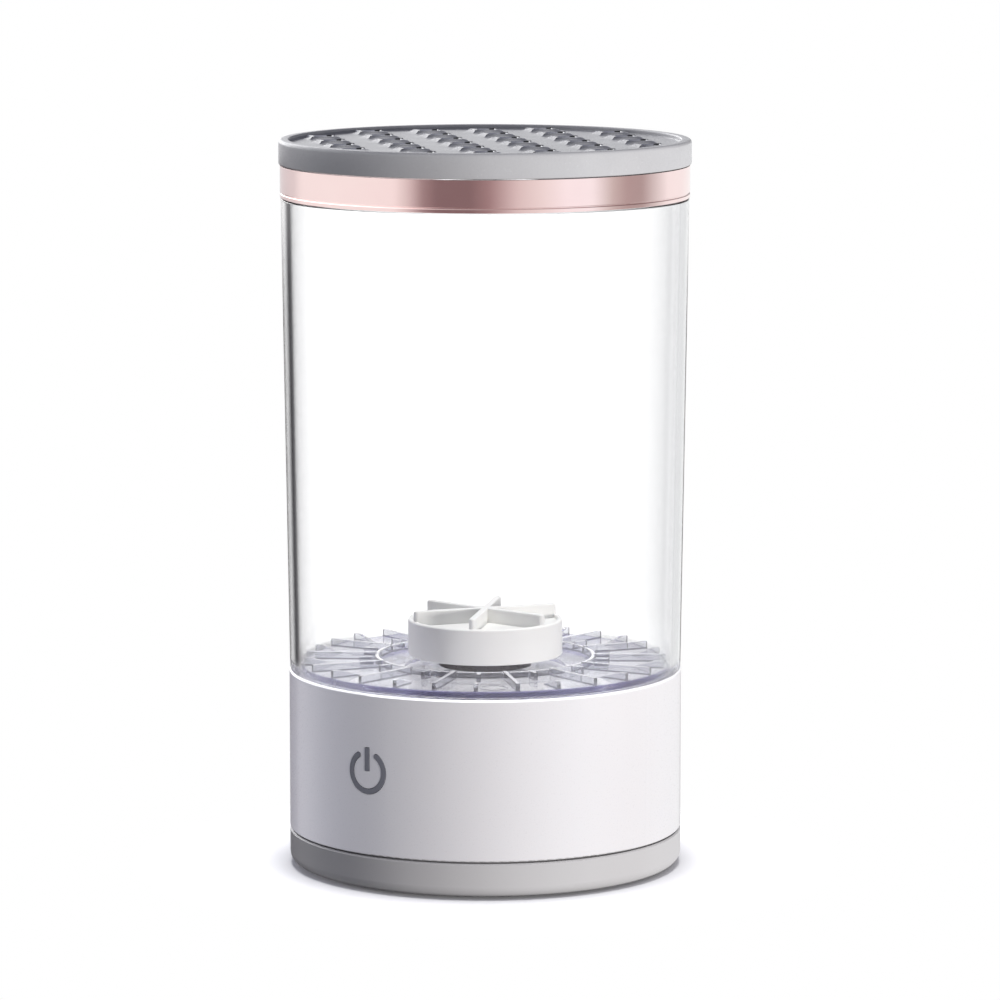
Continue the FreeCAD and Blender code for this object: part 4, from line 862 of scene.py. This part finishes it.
# the walls of its openings carry painted shade and a painted highlight
SILICONE = silicone("grey_silicone", (0.36, 0.36, 0.37), (0.325, 0.325, 0.335),
                    outer_radius("silicone_lid") - 2.8 * MM)
FOOT = moulded_plastic("grey_moulding", (0.37, 0.365, 0.37), (0.335, 0.33, 0.335), (0.36, 0.44))
IMPELLER = moulded_plastic("impeller_moulding", (0.79, 0.79, 0.765), (0.755, 0.755, 0.73), (0.42, 0.52),
                           glow=0.08)
BLACK = moulded_plastic("black_moulding", (0.02, 0.02, 0.021), (0.012, 0.012, 0.013), (0.4, 0.55))
ACETAL = moulded_plastic("acetal", (0.78, 0.78, 0.74), (0.72, 0.72, 0.69), (0.35, 0.45), glow=0.05)
LED = moulded_plastic("led_lens", (0.85, 0.84, 0.72), (0.80, 0.79, 0.66), (0.2, 0.3), glow=0.2)
FERRITE = moulded_plastic("ferrite", (0.05, 0.05, 0.055), (0.03, 0.03, 0.033), (0.55, 0.7),
                          grain=2600.0, depth=0.05)
SLEEVE = moulded_plastic("cell_sleeve", (0.03, 0.16, 0.42), (0.025, 0.13, 0.36), (0.22, 0.3), coat=0.3)
RED_LEAD = moulded_plastic("red_insulation", (0.45, 0.02, 0.015), (0.36, 0.015, 0.012), (0.35, 0.45))
BLACK_LEAD = moulded_plastic("black_insulation", (0.02, 0.02, 0.02), (0.012, 0.012, 0.012), (0.35, 0.45))
TURNED = worked_metal("turned_dark_steel", (0.16, 0.15, 0.15), (0.10, 0.095, 0.095), (0.24, 0.38))
STEEL = worked_metal("ground_steel", (0.62, 0.62, 0.63), (0.55, 0.55, 0.56), (0.12, 0.24), (1, 1, 0.2))
ZINC = worked_metal("zinc_plate", (0.55, 0.56, 0.56), (0.45, 0.46, 0.47), (0.26, 0.42))
NICKEL = worked_metal("nickel_plate", (0.60, 0.58, 0.55), (0.54, 0.52, 0.49), (0.10, 0.20))
BRASS = worked_metal("brass", (0.75, 0.55, 0.25), (0.68, 0.48, 0.20), (0.22, 0.34))
LAMINATION = worked_metal("laminations", (0.30, 0.22, 0.16), (0.22, 0.15, 0.10), (0.35, 0.5),
                          (0.2, 0.2, 9), scale=700.0, depth=0.4)
BOARD = circuit_board("solder_mask")

NODE_SURFACES = {
    WHITE: ("base_housing",),
    FOOT: ("bottom_cover",),
    BLACK: ("motor_end_cap", "board_parts", "tact_switch", "charge_parts", "socket_tongue", "switch_plunger"),
    ACETAL: ("drive_rotor", "thrust_washer", "hub_bush"),
    LED: ("status_led",),
    FERRITE: ("stator_magnets",),
    SLEEVE: ("battery_cell",),
    RED_LEAD: ("battery_leads", "motor_leads"),
    BLACK_LEAD: ("link_cable",),
    TURNED: ("magnet_carrier",),
    STEEL: ("spindle_pin", "motor_shaft"),
    ZINC: ("case_screws", "motor_can", "motor_bracket", "motor_screws", "bracket_screws", "charge_screws"),
    NICKEL: ("battery_tabs", "driven_magnets", "drive_magnets", "charge_socket"),
    BRASS: ("motor_terminals",),
    LAMINATION: ("armature",),
    BOARD: ("control_board", "charge_board"),
}


def dress_frame():
    """Give every CAD node that stays its procedural material."""
    for surface, names in NODE_SURFACES.items():
        for name in names:
            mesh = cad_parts[name].data
            mesh.materials.clear()
            mesh.materials.append(surface)


# ---------------------------------------------------------------- stage, lights and camera

FLOOR_RADIUS = 0.3
FLOOR_SHOWN = 0.046          # the floor is whole up to this radius, and gone from the next one on
FLOOR_GONE = 0.078


def make_floor():
    """A pale round table that fades into the white room at its edge and isn't there from below."""
    floor = lathe("studio_floor", [(0, 0, 0), (FLOOR_RADIUS, 0, 0)], closed=False, turns=96)
    made, tree = new_material("pale_floor")
    away = add(tree, "VectorMath", {"operation": "LENGTH"}, {0: own_space(tree)}).outputs["Value"]
    fade = spread(tree, away, 0.0, 1.0, FLOOR_SHOWN, FLOOR_GONE)
    paper = add(tree, "BsdfPrincipled", {}, {
        "Base Color": (0.93, 0.93, 0.935, 1),
        "Specular IOR Level": 0.1,
        "Roughness": spread(tree, noise_of(tree, 300.0), 0.6, 0.8),
    })
    clear = add(tree, "BsdfTransparent")
    viewer = component(tree, add(tree, "NewGeometry").outputs["Incoming"], "Z")
    unseen = worked_out(tree, "MAXIMUM", fade, worked_out(tree, "LESS_THAN", viewer, 0.0))
    output(tree, blend_surfaces(tree, unseen, paper.outputs[0], clear.outputs[0]))
    floor.data.materials.append(made)
    floor.visible_diffuse = False
    floor.visible_glossy = False
    floor.visible_transmission = False
    return floor


# what polished surfaces mirror, low round the studio: degrees to the right of the camera, and tint
MIRRORED = (
    (-180, (0.86, 0.86, 0.87)),
    (-160, (0.76, 0.74, 0.76)),
    (-136, (0.76, 0.74, 0.76)),
    (-124, (0.97, 0.97, 0.98)),
    (-100, (0.98, 0.99, 1.00)),
    (-52, (0.98, 0.97, 0.98)),
    (-43, (0.72, 0.66, 0.67)),
    (-35, (0.36, 0.28, 0.29)),
    (-27, (0.24, 0.17, 0.18)),
    (-8, (0.24, 0.17, 0.18)),
    (2, (0.36, 0.26, 0.27)),
    (10, (0.55, 0.46, 0.47)),
    (18, (0.75, 0.68, 0.69)),
    (32, (0.90, 0.87, 0.88)),
    (46, (1.03, 1.05, 1.10)),
    (62, (1.03, 1.07, 1.12)),
    (76, (0.62, 0.58, 0.57)),
    (86, (0.48, 0.41, 0.41)),
    (98, (0.46, 0.40, 0.40)),
    (112, (0.76, 0.76, 0.77)),
    (124, (1.00, 1.02, 1.04)),
    (180, (1.00, 1.00, 1.00)),
)
# what polished surfaces mirror higher up: a bright soft box on the left, a dark card on the right
MIRRORED_ABOVE = (
    (-180, (0.80, 0.80, 0.81)),
    (-176, (0.95, 0.95, 0.96)),
    (-168, (2.80, 2.80, 2.82)),
    (-140, (3.40, 3.40, 3.42)),
    (-100, (3.00, 3.00, 3.05)),
    (-50, (2.00, 2.00, 2.05)),
    (-25, (0.60, 0.60, 0.62)),
    (15, (0.30, 0.30, 0.31)),
    (110, (0.08, 0.08, 0.09)),
    (165, (0.10, 0.10, 0.11)),
    (176, (0.60, 0.60, 0.61)),
    (180, (0.80, 0.80, 0.81)),
)
# what is seen through clear plastic: white ahead, and cards for light that is bent to the left or right
AHEAD = (1.42, 1.42, 1.42)
ASIDE_LEFT = (0.03, 0.03, 0.035)
ASIDE_RIGHT = (0.84, 0.84, 0.85)
LEFT_CARD = (27.0, 14.0)          # degrees left of the view's middle where it is full, and where it ends
RIGHT_CARD = (2.0, 20.0)          # degrees right of it where it begins, and where it is full
# a dark card low behind the object, which the left edges of the housing and the cup mirror
LOW_CARD = (0.06, 0.05, 0.055)
LOW_CARD_AT = -169.0              # degrees to the right of the camera's side
LOW_CARD_SPAN = (27.0, 20.0)      # degrees from its middle where it ends, and where it is full
MIRRORED_TOP = (0.85, 0.85, 0.87)
FILL_ABOVE = (0.26, 0.265, 0.33)  # the dim light on matt surfaces, from above and from below
FILL_BELOW = (0.13, 0.13, 0.145)
BACKDROP = (1.0, 1.0, 1.0)        # behind the object, as the camera sees it
# heights of a direction, from -1 straight down to 1 straight up, between which a change takes place
LOW_CARD_BELOW = (-0.085, -0.11)
ABOVE_BEGINS = (0.0, 0.07)
TOP_BEGINS = (0.65, 0.9)
FILL_CHANGES = (-0.25, 0.25)
BRIGHTEST = 4.1                   # ramps hold tints up to one, so they are stored as shares of this


def stored(tint):
    """A tint as the colour sockets hold it."""
    return (*[part / BRIGHTEST for part in tint], 1)


def tint_round(tree, share, stops):
    """The tint of a ring of studio stops at a share of the way round."""
    ramp = tree.nodes.new("ShaderNodeValToRGB")
    tree.links.new(share, ramp.inputs[0])
    elements = ramp.color_ramp.elements
    while len(elements) > 1:
        elements.remove(elements[-1])
    for number, (degrees, tint) in enumerate(stops):
        place = (degrees + 180) / 360
        stop = elements[0] if number == 0 else elements.new(place)
        stop.position = place
        stop.color = stored(tint)
    return ramp.outputs["Color"]


def rising(tree, value, low, high):
    """0 at low, 1 at high and a smooth step between them."""
    made = add(tree, "MapRange", {"interpolation_type": "SMOOTHSTEP"},
               {"Value": value, "From Min": low, "From Max": high})
    return made.outputs["Result"]


def around_camera(degrees, distance, height):
    """A place at degrees to the right of the camera's side of the object."""
    angle = math.radians(CAMERA_AZIMUTH + degrees)
    return Vector((distance * math.sin(angle), -distance * math.cos(angle), height))


def mirrored_room(tree, heading, height):
    """What polished surfaces mirror: a ring of stops low down, another above it, a dark card and a top."""
    turned = add(tree, "VectorRotate", {"rotation_type": "Z_AXIS"},
                 {"Vector": heading, "Angle": -math.radians(CAMERA_AZIMUTH)}).outputs["Vector"]
    toward = worked_out(tree, "MULTIPLY", component(tree, turned, "Y"), -1.0)
    angle = worked_out(tree, "ARCTAN2", component(tree, turned, "X"), toward)
    share = add(tree, "MapRange", {}, {"Value": angle, "From Min": -math.pi, "From Max": math.pi})
    share = share.outputs["Result"]
    level = add(tree, "VectorMath", {"operation": "NORMALIZE"}, {0: level_part(tree, heading)})
    near = add(tree, "VectorMath", {"operation": "DOT_PRODUCT"},
               {0: level.outputs["Vector"], 1: around_camera(LOW_CARD_AT, 1.0, 0.0)}).outputs["Value"]
    ends, full = [math.cos(math.radians(degrees)) for degrees in LOW_CARD_SPAN]
    card = worked_out(tree, "MULTIPLY", rising(tree, near, ends, full), rising(tree, height, *LOW_CARD_BELOW))
    low = blend_tints(tree, card, tint_round(tree, share, MIRRORED), stored(LOW_CARD))
    above = tint_round(tree, share, MIRRORED_ABOVE)
    room = blend_tints(tree, rising(tree, height, *ABOVE_BEGINS), low, above)
    return blend_tints(tree, rising(tree, height, *TOP_BEGINS), room, stored(MIRRORED_TOP))


def room_behind(tree, heading):
    """What is seen through clear plastic, by how far the light is bent to the view's left or right."""
    bent = add(tree, "VectorTransform",
               {"vector_type": "VECTOR", "convert_from": "WORLD", "convert_to": "CAMERA"}, {0: heading})
    aside = component(tree, bent.outputs[0], "X")
    full_left, end_left = [-math.sin(math.radians(degrees)) for degrees in LEFT_CARD]
    start_right, full_right = [math.sin(math.radians(degrees)) for degrees in RIGHT_CARD]
    right = rising(tree, aside, start_right, full_right)
    behind = blend_tints(tree, right, stored(AHEAD), stored(ASIDE_RIGHT))
    return blend_tints(tree, rising(tree, aside, full_left, end_left), stored(ASIDE_LEFT), behind)


def make_world():
    """White to the camera; soft boxes and cards in mirrors and clear plastic; a dim fill on matt surfaces."""
    world = bpy.data.worlds.new("studio")
    bpy.context.scene.world = world
    world.use_nodes = True
    world.cycles.sampling_method = "NONE"
    tree = world.node_tree
    tree.nodes.clear()
    heading = add(tree, "TexCoord").outputs["Generated"]
    height = component(tree, heading, "Z")
    fill = blend_tints(tree, rising(tree, height, *FILL_CHANGES), stored(FILL_BELOW), stored(FILL_ABOVE))
    path = add(tree, "LightPath")
    seen = blend_tints(tree, path.outputs["Is Glossy Ray"], fill, mirrored_room(tree, heading, height))
    seen = blend_tints(tree, path.outputs["Is Transmission Ray"], seen, room_behind(tree, heading))
    seen = blend_tints(tree, path.outputs["Is Camera Ray"], seen, stored(BACKDROP))
    back = add(tree, "Background", {}, {"Color": seen, "Strength": BRIGHTEST})
    add(tree, "OutputWorld", {}, {"Surface": back.outputs[0]})


def members(name, objects):
    """A collection that says which objects a lamp lights or which throw its shadows."""
    made = bpy.data.collections.new(name)
    for item in objects:
        made.objects.link(item)
    return made


def soft_box(name, place, size, level, tint=(1, 1, 1), target=0.08, lights=None, shades=None):
    """An area lamp that shapes matt surfaces and isn't mirrored, aimed at the axis at the height target.
    The level is the brightness of white card that faces it."""
    data = bpy.data.lights.new(name, "AREA")
    data.shape = "RECTANGLE"
    data.size, data.size_y = size
    lamp = bpy.data.objects.new(name, data)
    lamp.location = place
    aim = Vector((0, 0, target)) - lamp.location
    data.energy = level * math.pi ** 2 * aim.length_squared
    data.color = tint
    lamp.rotation_euler = aim.to_track_quat("-Z", "Y").to_euler()
    lamp.visible_glossy = False
    lamp.visible_transmission = False
    bpy.context.scene.collection.objects.link(lamp)
    if lights:
        lamp.light_linking.receiver_collection = members(name + "_lights", lights)
    if shades:
        lamp.light_linking.blocker_collection = members(name + "_shades", shades)


CAMERA_DISTANCE = 1.166
CAMERA_HEIGHT = 0.245
CAMERA_LENS = 193.0          # millimetres, on a sensor of the width below
CAMERA_SENSOR = 36.0
CAMERA_PITCH = math.radians(-8.03)
CAMERA_YAW = math.radians(0.16)


def make_camera():
    data = bpy.data.cameras.new("camera")
    data.lens = CAMERA_LENS
    data.sensor_width = CAMERA_SENSOR
    data.clip_start = 0.05
    data.clip_end = 20.0
    camera = bpy.data.objects.new("camera", data)
    camera.location = around_camera(0, CAMERA_DISTANCE, CAMERA_HEIGHT)
    heading = math.radians(CAMERA_AZIMUTH) - CAMERA_YAW
    camera.rotation_euler = (math.pi / 2 + CAMERA_PITCH, 0, heading)
    bpy.context.scene.collection.objects.link(camera)
    bpy.context.scene.camera = camera


# ---------------------------------------------------------------- build

dress_frame()
cup = place_piece(make_cup(), "cup", "clear_plastic", CLEAR, "clear_cup")
band = place_piece(make_band(), "cup", "rose_gold", ROSE, "trim_ring")
lid = place_piece(make_lid(), "lid", "grey_silicone", SILICONE, "silicone_lid")
disc = place_piece(make_disc(), "disc", "disc_clear", DISC, "scrub_disc")
impeller = place_piece(make_impeller_top(), "impeller", "impeller_white", IMPELLER, "impeller_cap")
place_piece(make_key(), "key", "key_grey", KEY, "power_key")
pad = place_piece(make_pad(), "base", "pad_rubber", PAD, "anti_slip_pad")

floor = make_floor()
make_world()

# a lamp without lights shapes every piece; the cup, the band and the lid throw no shadow from above
LID_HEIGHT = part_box("silicone_lid")[1].z
CEILING = Vector((0, 0, 1.3))
cad_nodes = list(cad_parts.values())
housing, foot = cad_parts["base_housing"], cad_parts["bottom_cover"]
shown = [cup, band, disc, impeller, pad, floor]
solid = cad_nodes + [disc, impeller, pad]
soft_box("key_box", around_camera(45, 1.1, 0.10), (0.5, 0.16), 0.90, (1.0, 0.97, 0.925))
soft_box("left_box", around_camera(-120, 1.1, 0.12), (0.4, 0.2), 0.5, (0.95, 0.93, 1.0),
         lights=[node for node in cad_nodes if node is not foot] + shown)
soft_box("deck_box", CEILING, (0.2, 0.2), 0.55, lights=[housing], shades=solid)
soft_box("top_box", CEILING, (0.5, 0.5), 1.15, lights=cad_nodes + shown, shades=solid)
soft_box("lid_rim_box", around_camera(-160, 1.0, LID_HEIGHT + 0.26), (0.3, 0.1), 2.0,
         target=LID_HEIGHT, lights=[lid])
soft_box("lid_side_box", around_camera(-100, 1.0, LID_HEIGHT + 0.36), (0.12, 0.06), 0.25,
         target=LID_HEIGHT, lights=[lid])
soft_box("grey_box", around_camera(51, 1.1, 0.10), (0.4, 0.16), 0.82, lights=[lid, foot])
make_camera()

view = bpy.context.scene.view_settings
view.view_transform = "Standard"
view.look = "None"
